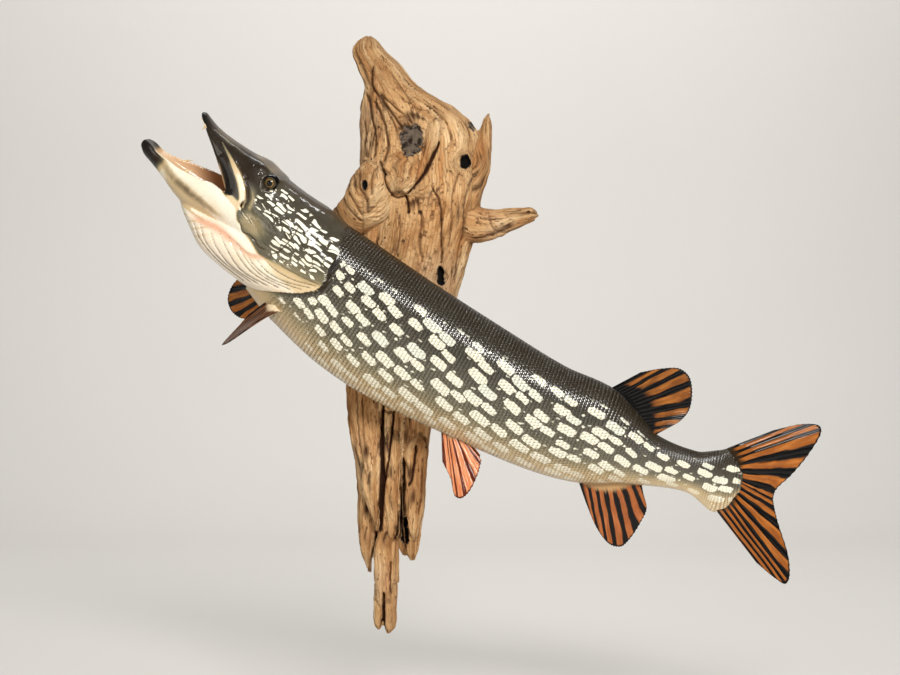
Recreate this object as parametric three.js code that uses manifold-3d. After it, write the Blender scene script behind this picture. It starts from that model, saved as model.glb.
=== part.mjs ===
import * as THREE from 'three';
import { mergeVertices } from 'three/addons/utils/BufferGeometryUtils.js';
import Module from 'manifold-3d';

// A pike mounted on a piece of driftwood that hangs on a wall. Sizes are in millimetres, +Z is up.
// The wall is the plane y = 0, and the fish lies in front of it, towards -Y, with its head towards -X.
// The origin is on the flat sawn back of the driftwood, behind the middle of the fish.

const wasm = await Module();
wasm.setup();

// ---- Driving dimensions ----

const gap = 0.3; // between pieces that touch
const fishPlane = -121; // the fish's middle plane, measured from the wall
const clear = 95; // half of a width that reaches past both sides of the fish
const slantedGap = gap * 1.6; // the same gap measured along the head, where the gill line slants

// How finely the skins are divided: their sides around, and the greatest length between two rings.
const fineness = {
  head: { around: 16, step: 30 },
  throat: { around: 14, step: 40 },
  jaw: { around: 20, step: 30 },
  trunk: { around: 18, step: 60 },
  wood: { around: 14, step: 45 },
  limb: { around: 10, step: 45 },
  knot: { around: 10, step: 30 },
};

// How square the sections are: 2 is an ellipse, more is squarer.
const squareness = { cheek: 2.9, throat: 2.1, jaw: 2.4, trunk: 2.2, wood: 2.3, knot: 2.1 };

// The head has a straight frame of its own. s runs back from the tip of the snout, d up from it,
// and w out towards the near side. The head is rolled about an axis that lies below the snout.
const snoutTip = { x: -283.5, z: 252.5 };
const headPitch = 42;
const headRoll = 14;
const headAxisDrop = -61;
const headLength = 285; // to the rear end of its stations, inside the trunk
const beforeJaw = -80; // a place on s that is clear of the tip of the lower jaw

// The upper head: its top and floor, its half width, how much the crown is narrower than the cheek,
// and how square its upper side is.
const headStations = [
  { s: 0, top: 2, floor: -2, half: 4, crown: 0, square: 2.2 },
  { s: 4, top: 4, floor: -5, half: 9, crown: 0, square: 2.2 },
  { s: 12, top: 2, floor: -8, half: 13.5, crown: 0.1, square: 2.4 },
  { s: 24, top: -0.5, floor: -10.5, half: 18, crown: 0.25, square: 2.6 },
  { s: 45, top: -1.5, floor: -17, half: 23.5, crown: 0.3, square: 2.8 },
  { s: 68, top: 2, floor: -23, half: 27, crown: 0.3, square: 2.8 },
  { s: 90, top: 6.2, floor: -31, half: 32, crown: 0.26, square: 3.2 },
  { s: 108, top: 11, floor: -41, half: 37, crown: 0.22, square: 3.8 },
  { s: 128, top: 9.8, floor: -60, half: 42, crown: 0.2, square: 3.8 },
  { s: 153, top: 10, floor: -73, half: 47, crown: 0.24, square: 3 },
  { s: 188, top: 14, floor: -80, half: 53, crown: 0.22, square: 2.6 },
  { s: 223, top: 20, floor: -73, half: 56, crown: 0.18, square: 2.4 },
  { s: 257, top: 21.5, floor: -58, half: 58, crown: 0.12, square: 2.3 },
  { s: 285, top: 23, floor: -52, half: 57, crown: 0.1, square: 2.3 },
];

// The throat: the gill membranes and their rays, below the jaws and the cheeks.
const throatStations = [
  { s: 50, top: -103, floor: -108, half: 4 },
  { s: 53, top: -98, floor: -112, half: 11 },
  { s: 62, top: -92, floor: -118, half: 20 },
  { s: 84, top: -88, floor: -128, half: 31 },
  { s: 115, top: -76, floor: -140.5, half: 42 },
  { s: 151, top: -58, floor: -142, half: 48 },
  { s: 188, top: -44, floor: -139, half: 52 },
  { s: 225, top: -30, floor: -136, half: 55 },
  { s: 285, top: -20, floor: -125, half: 56 },
];

// The lower jaw: a trough with its rim, keel, half width, wall and the depth of its channel.
const jawStations = [
  { s: -38, rim: -84, keel: -87, half: 3, wall: 1, channel: 0 },
  { s: -37, rim: -81, keel: -90, half: 6.5, wall: 3, channel: 0 },
  { s: -34, rim: -78.5, keel: -92.5, half: 9.5, wall: 5, channel: 0 },
  { s: -25, rim: -77.5, keel: -97, half: 14, wall: 7, channel: 0.5 },
  { s: -9, rim: -79.5, keel: -99, half: 17.5, wall: 7, channel: 3 },
  { s: 13, rim: -74, keel: -102.5, half: 24, wall: 5.5, channel: 14 },
  { s: 38, rim: -65, keel: -108.5, half: 30, wall: 5.5, channel: 24 },
  { s: 63, rim: -57, keel: -111, half: 36, wall: 6, channel: 32 },
  { s: 84, rim: -53, keel: -107, half: 40, wall: 7, channel: 34 },
  { s: 124, rim: -51, keel: -98, half: 44.5, wall: 9, channel: 26 },
  { s: 150, rim: -56, keel: -91, half: 47, wall: 12, channel: 12 },
  { s: 184, rim: -66, keel: -82, half: 43, wall: 14, channel: 0 },
];

// Teeth of the lower jaw (s, height), one row on each side, and the teeth of the snout. A tooth is a
// leaning cone whose root is sunk in the bone.
const jawTeeth = [
  { s: -4, height: 3 },
  { s: 8, height: 3.5 },
  { s: 21, height: 4 },
  { s: 34, height: 9 },
  { s: 50, height: 4.5 },
  { s: 66, height: 4 },
];
const snoutTeeth = [
  { s: 9, height: 3 },
  { s: 20, height: 6 },
  { s: 32, height: 3 },
];
const snoutTeethRow = { share: 0.72, rise: 1.5 }; // share of the half width, and height over the floor
const toothForm = { slender: 0.25, thick: 0.6, root: 2, sides: 3, lean: 0.35 };

// The line where head and throat end and the trunk begins, seen from the side.
const gillLine = [
  [254, 60],
  [254, 40],
  [257, 16],
  [264, -1],
  [270, -31],
  [277, -56],
  [262, -80],
  [238, -101],
  [216, -120],
  [192, -135],
  [165, -155],
];
const gillCover = { front: 212, bow: 194, rear: 300, top: 12, middle: -34, bottom: -84, slant: 8, inner: 34 };

// The upper lip plate at the side of the mouth: its upper and lower edges.
const maxillaUpper = [[29, -8], [44, -9.5], [60, -11], [80, -14], [98, -19], [112, -28], [121, -40]];
const maxillaLower = [[29, -12], [50, -23], [64, -34], [80, -42], [95, -50], [108, -55], [118, -52]];
const maxilla = { thickness: 6, proud: 0.3, edge: 0.55, front: 0.5, steps: [8, 3] };
const steepest = 0.97; // how near to the crown the side of the head is still measured

const eye = { s: 134.8, d: -1.8, w: 24.3, radius: 11.5, steps: [12, 7] };

// The trunk, from inside the head to the end of the flesh of the tail. Its spine bends only in x and z.
const trunkStations = [
  { at: 0, x: -194, z: 90, up: 74, down: 76, half: 45, roll: 14 },
  { at: 41, x: -165, z: 61, up: 81, down: 81, half: 51, roll: 14 },
  { at: 82, x: -136, z: 31, up: 86, down: 84, half: 54, roll: 13 },
  { at: 154, x: -80, z: -13, up: 90, down: 91, half: 57, roll: 12 },
  { at: 228, x: -18, z: -54, up: 89, down: 91, half: 57, roll: 11 },
  { at: 337, x: 77, z: -108, up: 83, down: 83, half: 54, roll: 10 },
  { at: 444, x: 173, z: -155, up: 73, down: 78, half: 47, roll: 9 },
  { at: 516, x: 240, z: -181, up: 69, down: 71, half: 39, roll: 8 },
  { at: 556, x: 277, z: -197, up: 53, down: 57, half: 31, roll: 7 },
  { at: 595, x: 312, z: -213, up: 36, down: 39, half: 22, roll: 5 },
  { at: 658, x: 373, z: -231, up: 28.5, down: 29.5, half: 14, roll: 3 },
  { at: 687, x: 401, z: -238, up: 37, down: 42, half: 10.5, roll: 1 },
  { at: 703, x: 416, z: -242, up: 44, down: 46, half: 7.5, roll: 0 },
  { at: 718, x: 431, z: -244, up: 36, down: 37, half: 5.5, roll: 0 },
  { at: 729, x: 442, z: -246, up: 18, down: 18, half: 3.5, roll: 0 },
];
const trunkCuts = [0, 250, 420, 580, 729];
const trunkEnd = trunkCuts.at(-1);
const trunkMarks = [...trunkStations, ...trunkCuts.map((at) => ({ at }))];
const trunkNames = ['trunk_front', 'trunk_middle', 'trunk_rear', 'tail_stalk'];
const nearby = 2; // the direction of the trunk is taken between points this far to each side

const finNearby = 0.02; // the share of a fin's edge to each side, between which its direction is taken

// Each fin is a sheet between its root, hidden in the body, and its outer edge.
const fins = {
  dorsal_fin: {
    root: [[254, -126, -124], [284, -127, -151], [316, -126, -187]],
    edge: [
      [304, -131, -97], [331, -133, -92], [356, -134, -92], [369, -134, -103], [373, -134, -124],
      [369, -133, -148], [358, -132, -162], [342, -130, -172], [327, -128, -180],
    ],
    thick: [4, 1.4],
  },
  anal_fin: {
    root: [[218, -113, -236], [260, -114, -240], [305, -116, -240]],
    edge: [
      [232, -110, -276], [244, -108, -305], [256, -107, -324], [266, -106, -333], [280, -106, -335],
      [292, -107, -324], [306, -109, -302], [314, -112, -283], [309, -114, -262],
    ],
    thick: [4, 1.4],
  },
  caudal_fin_upper: {
    root: [[421, -121, -200], [431, -121, -220], [434, -121, -242]],
    edge: [
      [485, -123, -175], [522, -125, -167], [545, -126, -169], [548, -126, -177], [531, -125, -208],
      [509, -124, -235], [487, -123, -257], [483, -123, -265],
    ],
    thick: [6, 1.4],
  },
  caudal_fin_lower: {
    root: [[433.5, -121, -242.4], [423, -121, -264], [401, -121, -277]],
    edge: [
      [483, -123, -265.6], [485, -123, -279], [490, -123, -300], [504, -125, -348], [504, -126, -377],
      [499, -126, -383], [485, -126, -375], [461, -124, -355],
    ],
    thick: [6, 1.4],
  },
  pelvic_fin_left: {
    root: [[35, -121, -168], [56, -121, -176]],
    edge: [
      [37, -130, -218], [49, -134, -243], [54, -136, -264], [62, -136, -267], [73, -136, -258],
      [85, -133, -234], [90, -129, -216],
    ],
    thick: [3.5, 1.2],
  },
  pelvic_fin_right: {
    root: [[38, -93, -166], [59, -93, -172]],
    edge: [
      [42, -82, -212], [52, -78, -236], [60, -76, -255], [68, -76, -257], [78, -77, -247],
      [87, -80, -228], [89, -84, -212],
    ],
    thick: [3.5, 1.2],
  },
  pectoral_fin_left: {
    root: [[-178, -136, 5], [-174, -147, -9]],
    edge: [
      [-222, -146, -20], [-244, -154, -46], [-253, -170, -58], [-252, -187, -61], [-243, -200, -58],
      [-224, -196, -44], [-206, -180, -28],
    ],
    bow: [-5, 0, 7],
    thick: [4, 1.4],
  },
  pectoral_fin_right: {
    root: [[-200, -86, 30], [-186, -90, 2]],
    edge: [
      [-236, -70, 38], [-254, -64, 22], [-261, -61, 2], [-256, -60, -14], [-243, -61, -24],
      [-222, -66, -24], [-206, -74, -18],
    ],
    thick: [4, 1.4],
  },
};

// The driftwood: upright lengths give x, half width, y and half depth at each height z.
const woodStations = [
  { z: 370, x: -66, half: 5, y: -42, depth: 6 },
  { z: 364, x: -67, half: 14, y: -42, depth: 12 },
  { z: 348, x: -66, half: 24, y: -42, depth: 20 },
  { z: 326, x: -51, half: 31, y: -42, depth: 26 },
  { z: 299, x: -34, half: 38, y: -42, depth: 30 },
  { z: 283, x: -22, half: 52, y: -41, depth: 33 },
  { z: 267, x: -10, half: 67, y: -40, depth: 36 },
  { z: 240, x: 3, half: 81, y: -37, depth: 40 },
  { z: 200, x: 6, half: 84, y: -34, depth: 42 },
  { z: 141, x: 8, half: 84, y: -32, depth: 42 },
  { z: 72, x: -3, half: 81, y: -28, depth: 41 },
  { z: 2, x: -17, half: 74, y: -27, depth: 41 },
  { z: -68, x: -24, half: 71, y: -27, depth: 40 },
  { z: -124, x: -30, half: 66, y: -26, depth: 39 },
  { z: -180, x: -34, half: 59, y: -25, depth: 36 },
  { z: -226, x: -34, half: 51, y: -24, depth: 31 },
];
const woodCuts = [370, 272, 112, -226];
const woodNames = ['driftwood_horn', 'driftwood_crown', 'driftwood_stem'];

const limbStations = {
  driftwood_foot_left: [
    { z: -200, x: -66, half: 22, y: -24, depth: 22 },
    { z: -250, x: -65, half: 20, y: -22, depth: 20 },
    { z: -277, x: -66, half: 17, y: -20, depth: 17 },
    { z: -319, x: -69, half: 14, y: -18, depth: 13 },
    { z: -354, x: -70, half: 9, y: -17, depth: 9 },
    { z: -382, x: -69, half: 2.5, y: -16, depth: 3 },
  ],
  driftwood_foot_centre: [
    { z: -200, x: -37, half: 15, y: -26, depth: 24 },
    { z: -250, x: -37, half: 13, y: -27, depth: 23 },
    { z: -305, x: -39, half: 13.5, y: -28, depth: 22 },
    { z: -347, x: -44, half: 17, y: -28, depth: 20 },
    { z: -389, x: -43, half: 18, y: -28, depth: 18 },
    { z: -424, x: -44, half: 17, y: -27, depth: 16 },
    { z: -452, x: -43, half: 14, y: -26, depth: 13 },
    { z: -466, x: -42, half: 6, y: -26, depth: 6 },
  ],
  driftwood_foot_right: [
    { z: -194, x: -3, half: 21, y: -24, depth: 25 },
    { z: -222, x: -4, half: 20, y: -24, depth: 25 },
    { z: -277, x: -4, half: 16, y: -25, depth: 21 },
    { z: -333, x: -9, half: 13, y: -26, depth: 16 },
    { z: -356, x: -9, half: 10, y: -26, depth: 11 },
    { z: -366, x: -8, half: 4, y: -26, depth: 5 },
  ],
  driftwood_prong: [
    { z: 264, x: 101, half: 2, y: -30, depth: 3 },
    { z: 256, x: 99, half: 7, y: -31, depth: 7 },
    { z: 239, x: 97, half: 11, y: -32, depth: 12 },
    { z: 216, x: 93, half: 15, y: -34, depth: 17 },
    { z: 190, x: 84, half: 20, y: -35, depth: 21 },
    { z: 150, x: 76, half: 20, y: -35, depth: 22 },
  ],
  driftwood_splinter: [
    { z: -120, x: -68, half: 17, y: -54, depth: 16 },
    { z: -180, x: -67, half: 19, y: -48, depth: 16 },
    { z: -236, x: -64, half: 16, y: -44, depth: 14 },
    { z: -277, x: -62, half: 12, y: -42, depth: 11 },
    { z: -306, x: -59, half: 6, y: -41, depth: 7 },
    { z: -322, x: -57, half: 2, y: -40, depth: 3 },
  ],
  driftwood_ridge: [
    { z: 248, x: 27, half: 4, y: -70, depth: 6 },
    { z: 236, x: 25, half: 9, y: -72, depth: 12 },
    { z: 210, x: 19, half: 9, y: -73, depth: 12 },
    { z: 184, x: 11, half: 7, y: -73, depth: 11 },
    { z: 160, x: -2, half: 4.5, y: -71, depth: 8 },
  ],
};

// Sideways lengths give z, half height, y and half depth at each x.
const sidewaysStations = {
  driftwood_branch: [
    { x: 62, z: 112, half: 27, y: -36, depth: 22 },
    { x: 86, z: 108, half: 27, y: -37, depth: 21 },
    { x: 103, z: 108, half: 23, y: -38, depth: 19 },
    { x: 121, z: 109, half: 20, y: -40, depth: 17 },
    { x: 145, z: 115, half: 14, y: -42, depth: 13 },
    { x: 163, z: 120, half: 9, y: -43, depth: 9 },
    { x: 169, z: 120, half: 4, y: -43, depth: 4 },
  ],
  driftwood_knot: [
    { x: -46, z: 172, half: 9, y: -68, depth: 7 },
    { x: -40, z: 174, half: 20, y: -71, depth: 13 },
    { x: -20, z: 176, half: 28, y: -73, depth: 17 },
    { x: -2, z: 179, half: 23, y: -72, depth: 14 },
    { x: 8, z: 182, half: 9, y: -68, depth: 7 },
  ],
  driftwood_burl: [
    { x: -40, z: 150, half: 44, y: -46, depth: 34 },
    { x: -60, z: 151, half: 49, y: -48, depth: 36 },
    { x: -78, z: 150, half: 47, y: -49, depth: 34 },
    { x: -93, z: 146, half: 32, y: -49, depth: 28 },
    { x: -104, z: 138, half: 17, y: -48, depth: 18 },
    { x: -115, z: 130, half: 3, y: -46, depth: 4 },
  ],
};

// Hollows in the driftwood: their middle and their half sizes in x, y and z.
const hollowSteps = [8, 5];
const hollows = {
  driftwood_crown: [[-8, -80, 219, 19, 10, 22], [69, -68, 191, 7, 16, 10]],
  driftwood_stem: [[35, -66, 33, 5, 14, 14]],
  driftwood_burl: [[-69, -86, 158, 4, 8, 8]],
  driftwood_foot_right: [[-18, -30, -322, 7, 22, 22]],
};

// The steel plate on the back, which is let a little into the wood, and its keyhole.
const hanger = { width: 40, height: 70, thick: 1.6, recess: 0.2, z: 190 };
const keyholeForm = { radius: 5, sides: 12, drop: 6, slotWidth: 5, slotHeight: 12, deep: 20 };

// Weathering: lobes round a section, which wind slowly along the grain.
const weathering = { wind: 160, lobes: [[3, 0.04, 1, 0], [5, 0.035, -1.7, 1]] };


const colours = {
  back: 0x3b3426, flank: 0x6b6248, belly: 0xcdb88a, jaw: 0xe6dcc4, lip: 0x2b2419, fin: 0xa8591f,
  eye: 0x15110c, wood: 0xb98552, woodDark: 0xa06f41, steel: 0x8d8f92,
};

// ---- Helpers ----

const up = new THREE.Vector3(0, 0, 1);
const near = new THREE.Vector3(0, -1, 0);
const radians = THREE.MathUtils.degToRad;

// Returns a function that gives every measure of the stations, smoothly, at a place along them.
function measures(stations, along) {
  const rows = [...stations].sort((a, b) => a[along] - b[along]);
  const names = Object.keys(rows[0]).filter((name) => name !== along);
  const values = rows.flatMap((row) => names.map((name) => row[name]));
  const curve = new THREE.CubicInterpolant(rows.map((row) => row[along]), values, names.length);
  return (place) => {
    const found = curve.evaluate(place);
    return Object.fromEntries(names.map((name, i) => [name, found[i]]));
  };
}

// The places of the rings of a tube: its two ends, and between them each station and even steps of at
// most the given length.
function ringPlaces(stations, along, from, to, { step }) {
  const inside = stations.map((row) => row[along]).filter((place) => (place - from) * (place - to) < 0);
  const marks = [from, ...inside.sort((a, b) => (a - b) * Math.sign(to - from)), to];
  const places = [from];
  marks.slice(1).forEach((mark, i) => {
    const count = Math.ceil(Math.abs(mark - marks[i]) / step);
    for (let k = 1; k <= count; k += 1) places.push(THREE.MathUtils.lerp(marks[i], mark, k / count));
  });
  return places;
}

// A closed tube of rings. pointAt(along, turn, reach) places its points: turn goes once around, and
// reach is 1 on the skin and 0 at the middle of the two flat ends.
function tube(places, { around }, pointAt) {
  const steps = places.length - 1;
  const geometry = new THREE.CylinderGeometry(1, 1, 1, around, steps);
  const position = geometry.attributes.position;
  const point = new THREE.Vector3();
  for (let i = 0; i < position.count; i += 1) {
    point.fromBufferAttribute(position, i);
    const along = places[Math.round((0.5 - point.y) * steps)];
    const turn = Math.atan2(point.x, point.z);
    const placed = pointAt(along, turn, Math.min(1, Math.hypot(point.x, point.z)));
    position.setXYZ(i, placed.x, placed.y, placed.z);
  }
  return solidOf(geometry);
}

// A closed geometry as a solid, turned right side out if its making has mirrored it.
function solidOf(geometry) {
  geometry.deleteAttribute('normal');
  geometry.deleteAttribute('uv');
  const merged = mergeVertices(geometry, 1e-4);
  const triVerts = new Uint32Array(merged.index.array);
  const vertProperties = new Float32Array(merged.attributes.position.array);
  const solid = new wasm.Manifold(new wasm.Mesh({ numProp: 3, vertProperties, triVerts }));
  if (solid.volume() > 0) return solid;
  for (let i = 0; i < triVerts.length; i += 3) {
    [triVerts[i], triVerts[i + 1]] = [triVerts[i + 1], triVerts[i]];
  }
  return new wasm.Manifold(new wasm.Mesh({ numProp: 3, vertProperties, triVerts }));
}

function meshOf(name, solid, colour, roughness = 0.35, metalness = 0) {
  const { vertProperties, triVerts } = solid.getMesh();
  const geometry = new THREE.BufferGeometry();
  geometry.setAttribute('position', new THREE.BufferAttribute(vertProperties, 3));
  geometry.setIndex(new THREE.BufferAttribute(triVerts, 1));
  const material = new THREE.MeshStandardMaterial({ color: colour, roughness, metalness });
  const mesh = new THREE.Mesh(geometry, material);
  mesh.name = name;
  return mesh;
}

function joined(solids) {
  return solids.reduce((whole, solid) => whole.add(solid));
}

function carved(solid, ...cutters) {
  return cutters.reduce((rest, cutter) => rest.subtract(cutter), solid);
}

// A point of a rounded square: power 2 is a circle, more is squarer.
function rounded(turn, power) {
  const bend = 2 / power;
  const cos = Math.cos(turn);
  const sin = Math.sin(turn);
  return { h: Math.sign(cos) * Math.abs(cos) ** bend, w: Math.sign(sin) * Math.abs(sin) ** bend };
}

// ---- The head ----

const back = new THREE.Vector3(Math.cos(radians(headPitch)), 0, -Math.sin(radians(headPitch)));
const dorsal = new THREE.Vector3(Math.sin(radians(headPitch)), 0, Math.cos(radians(headPitch)));
const rolledUp = dorsal.clone().applyAxisAngle(back, radians(headRoll));
const rolledOut = near.clone().applyAxisAngle(back, radians(headRoll));
const headAxis = new THREE.Vector3(snoutTip.x, fishPlane, snoutTip.z).addScaledVector(dorsal, headAxisDrop);

function headPoint(s, d, w) {
  return headAxis.clone()
    .addScaledVector(back, s)
    .addScaledVector(rolledUp, d - headAxisDrop)
    .addScaledVector(rolledOut, w);
}

// A ring between a top and a floor, whose upper part narrows towards the crown.
function boxyRing(measure, s, turn, reach, grow, floorSquare) {
  const { top, floor, half, crown = 0, square = floorSquare } = measure;
  const { h, w } = rounded(turn, Math.cos(turn) > 0 ? square : floorSquare);
  const height = (top - floor) / 2 + grow;
  const width = (half + grow) * (1 - crown * Math.max(0, h));
  return headPoint(s, (top + floor) / 2 + height * h * reach, width * w * reach);
}

function upperHead(grow = 0) {
  const at = measures(headStations, 's');
  const places = ringPlaces(headStations, 's', -grow, headLength + grow, fineness.head);
  return tube(places, fineness.head, (s, turn, reach) => (
    boxyRing(at(s), s, turn, reach, grow, squareness.cheek)
  ));
}

function throatSolid(grow = 0) {
  const at = measures(throatStations, 's');
  const front = throatStations[0].s;
  const places = ringPlaces(throatStations, 's', front - grow, headLength + grow, fineness.throat);
  return tube(places, fineness.throat, (s, turn, reach) => (
    boxyRing(at(s), s, turn, reach, grow, squareness.throat)
  ));
}

// The ring of the trough starts at the keel, goes up the outside, over the rim and down to the channel.
const rimStart = 0.6;
const rimEnd = 0.7;

function jawRing(measure, s, turn, reach) {
  const { rim, keel, half, wall, channel } = measure;
  const part = Math.abs(turn) / Math.PI;
  const quarter = Math.PI / 2;
  let d = rim;
  let w = half;
  if (part < rimStart) {
    const { h, w: side } = rounded((part / rimStart) * quarter, squareness.jaw);
    d = rim - (rim - keel) * h;
    w = half * side;
  } else if (part < rimEnd) {
    w = half - (wall * (part - rimStart)) / (rimEnd - rimStart);
  } else {
    const { h, w: side } = rounded(((1 - part) / (1 - rimEnd)) * quarter, squareness.jaw);
    d = rim - channel * h;
    w = (half - wall) * side;
  }
  const middle = (rim + keel) / 2;
  return headPoint(s, middle + (d - middle) * reach, w * Math.sign(turn) * reach);
}

// A tooth that points up from the lower jaw (upwards = 1) or down from the snout (-1).
function tooth(s, d, w, height, upwards) {
  const { slender, thick, root: sunk, sides, lean } = toothForm;
  const cone = new THREE.ConeGeometry(height * slender + thick, height + sunk, sides);
  cone.translate(0, (height - sunk) / 2, 0);
  const tip = rolledUp.clone().multiplyScalar(upwards).addScaledVector(back, lean).normalize();
  cone.applyQuaternion(new THREE.Quaternion().setFromUnitVectors(new THREE.Vector3(0, 1, 0), tip));
  const root = headPoint(s, d, w);
  cone.translate(root.x, root.y, root.z);
  return solidOf(cone);
}

function lowerJaw() {
  const at = measures(jawStations, 's');
  const places = ringPlaces(jawStations, 's', jawStations[0].s, jawStations.at(-1).s, fineness.jaw);
  const trough = tube(places, fineness.jaw, (s, turn, reach) => jawRing(at(s), s, turn, reach));
  const teeth = jawTeeth.flatMap(({ s, height }) => [-1, 1].map((side) => {
    const { rim, half, wall } = at(s);
    return tooth(s, rim, side * (half - wall / 2), height, 1);
  }));
  return joined([trough, ...teeth]);
}

function snoutTeethSolids() {
  const at = measures(headStations, 's');
  return snoutTeeth.flatMap(({ s, height }) => [-1, 1].map((side) => {
    const { floor, half } = at(s);
    return tooth(s, floor + snoutTeethRow.rise, side * half * snoutTeethRow.share, height, -1);
  }));
}

// A flat outline in the head's side view, pushed out sideways from w = from to w = to.
function sidePrism(outline, from, to) {
  const shape = new THREE.Shape(outline);
  const geometry = new THREE.ExtrudeGeometry(shape, { depth: to - from, bevelEnabled: false });
  const position = geometry.attributes.position;
  for (let i = 0; i < position.count; i += 1) {
    const placed = headPoint(position.getX(i), position.getY(i), from + position.getZ(i));
    position.setXYZ(i, placed.x, placed.y, placed.z);
  }
  return solidOf(geometry);
}

// All that lies in front of the gill line, moved back along s by the given amount.
function headSpace(shift = 0) {
  const curve = new THREE.SplineCurve(gillLine.map(([s, d]) => new THREE.Vector2(s + shift, d)));
  const line = curve.getPoints(22);
  const [front, low] = [line[0], line.at(-1)].map(({ y }) => new THREE.Vector2(beforeJaw, y));
  return sidePrism([front, ...line, low], -clear, clear);
}

function gillCoverSpace(side, grow = 0) {
  const { front, bow, rear, top, middle, bottom, slant, inner } = gillCover;
  const edge = new THREE.QuadraticBezierCurve(
    new THREE.Vector2(front - grow, top + grow),
    new THREE.Vector2(2 * bow - front - grow, middle),
    new THREE.Vector2(front - slant - grow, bottom - grow),
  ).getPoints(10);
  const outline = [...edge, new THREE.Vector2(rear, bottom - grow), new THREE.Vector2(rear, top + grow)];
  const start = inner - grow;
  return side > 0 ? sidePrism(outline, start, clear) : sidePrism(outline, -clear, -start);
}

// How far the side of the upper head stands out at a height, or at its widest below its middle.
function sideOfHead({ top, floor, half, crown, square }, d) {
  const h = THREE.MathUtils.clamp((2 * d - top - floor) / (top - floor), 0, steepest);
  return half * (1 - h ** square) ** (1 / square) * (1 - crown * h);
}

function maxillaSolid(side) {
  const at = measures(headStations, 's');
  const upper = new THREE.SplineCurve(maxillaUpper.map((p) => new THREE.Vector2(...p)));
  const lower = new THREE.SplineCurve(maxillaLower.map((p) => new THREE.Vector2(...p)));
  const box = new THREE.BoxGeometry(1, 1, 1, ...maxilla.steps, 1);
  const position = box.attributes.position;
  for (let i = 0; i < position.count; i += 1) {
    const along = position.getX(i) + 0.5;
    const across = position.getY(i) + 0.5;
    const flat = upper.getPoint(along).lerp(lower.getPoint(along), across);
    const thinEdges = 1 - maxilla.edge * Math.abs(2 * across - 1) ** 3;
    const thinFront = 1 - maxilla.front * (1 - along) ** 3;
    const proud = maxilla.thickness * thinEdges * thinFront * (position.getZ(i) + maxilla.proud);
    const w = sideOfHead(at(flat.x), flat.y) + proud;
    const placed = headPoint(flat.x, flat.y, side * w);
    position.setXYZ(i, placed.x, placed.y, placed.z);
  }
  return solidOf(box);
}

function eyeSolid(side, grow = 0) {
  const ball = new THREE.SphereGeometry(eye.radius + grow, ...eye.steps);
  const centre = headPoint(eye.s, eye.d, side * eye.w);
  ball.translate(centre.x, centre.y, centre.z);
  return solidOf(ball);
}

// ---- The trunk ----

const trunkAt = measures(trunkStations, 'at');

function trunkPoint(at, turn, reach, grow) {
  const here = trunkAt(at);
  const before = trunkAt(Math.max(0, at - nearby));
  const after = trunkAt(Math.min(trunkEnd, at + nearby));
  const tangent = new THREE.Vector3(after.x - before.x, 0, after.z - before.z).normalize();
  const upward = new THREE.Vector3(-tangent.z, 0, tangent.x).applyAxisAngle(tangent, radians(here.roll));
  const outward = near.clone().applyAxisAngle(tangent, radians(here.roll));
  const { h, w } = rounded(turn, squareness.trunk);
  const height = (h > 0 ? here.up : here.down) + grow;
  return new THREE.Vector3(here.x, fishPlane, here.z)
    .addScaledVector(upward, height * h * reach)
    .addScaledVector(outward, (here.half + grow) * w * reach);
}

function trunkLength(from, to, grow = 0) {
  const places = ringPlaces(trunkMarks, 'at', from, to, fineness.trunk);
  return tube(places, fineness.trunk, (at, turn, reach) => trunkPoint(at, turn, reach, grow));
}

// ---- Fins ----

function finSolid({ root, edge, thick, bow }) {
  const bowed = new THREE.Vector3(...(bow ?? [0, 0, 0]));
  const rootCurve = new THREE.CatmullRomCurve3(root.map((p) => new THREE.Vector3(...p)));
  const edgePoints = edge.map((p) => new THREE.Vector3(...p));
  const edgeCurve = new THREE.CatmullRomCurve3(edgePoints, false, 'centripetal');
  const box = new THREE.BoxGeometry(1, 1, 1, 2 * (edge.length - 1), bow ? 2 : 1, 1);
  const position = box.attributes.position;
  const span = new THREE.Vector3();
  for (let i = 0; i < position.count; i += 1) {
    const along = position.getX(i) + 0.5;
    const out = position.getY(i) + 0.5;
    const start = rootCurve.getPoint(along);
    const end = edgeCurve.getPoint(along);
    const next = edgeCurve.getPoint(Math.min(1, along + finNearby));
    span.subVectors(next, edgeCurve.getPoint(Math.max(0, along - finNearby)));
    const across = span.clone().cross(end.clone().sub(start)).normalize();
    if (across.y > 0) across.negate();
    const half = THREE.MathUtils.lerp(thick[0], thick[1], out) * position.getZ(i);
    const placed = start.lerp(end, out).addScaledVector(across, half);
    placed.addScaledVector(bowed, Math.sin(Math.PI * out));
    position.setXYZ(i, placed.x, placed.y, placed.z);
  }
  return solidOf(box);
}

// ---- The driftwood ----

// How far a weathered section stands out at a turn: each lobe has a count, depth, winding and start.
function weathered(turn, along) {
  const wind = along / weathering.wind;
  return weathering.lobes.reduce((out, [count, depth, winding, start]) => (
    out + depth * Math.sin(count * turn + winding * wind + start)
  ), 1);
}

function uprightLimb(stations, fine, grow = 0, from = stations[0].z, to = stations.at(-1).z) {
  const at = measures(stations, 'z');
  const places = ringPlaces(stations, 'z', from, to, fine);
  return tube(places, fine, (z, turn, reach) => {
    const { x, half, y, depth } = at(z);
    const { h, w } = rounded(turn, squareness.wood);
    const out = weathered(turn, z) * reach;
    return new THREE.Vector3(x + (half + grow) * w * out, y - (depth + grow) * h * out, z);
  });
}

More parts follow.
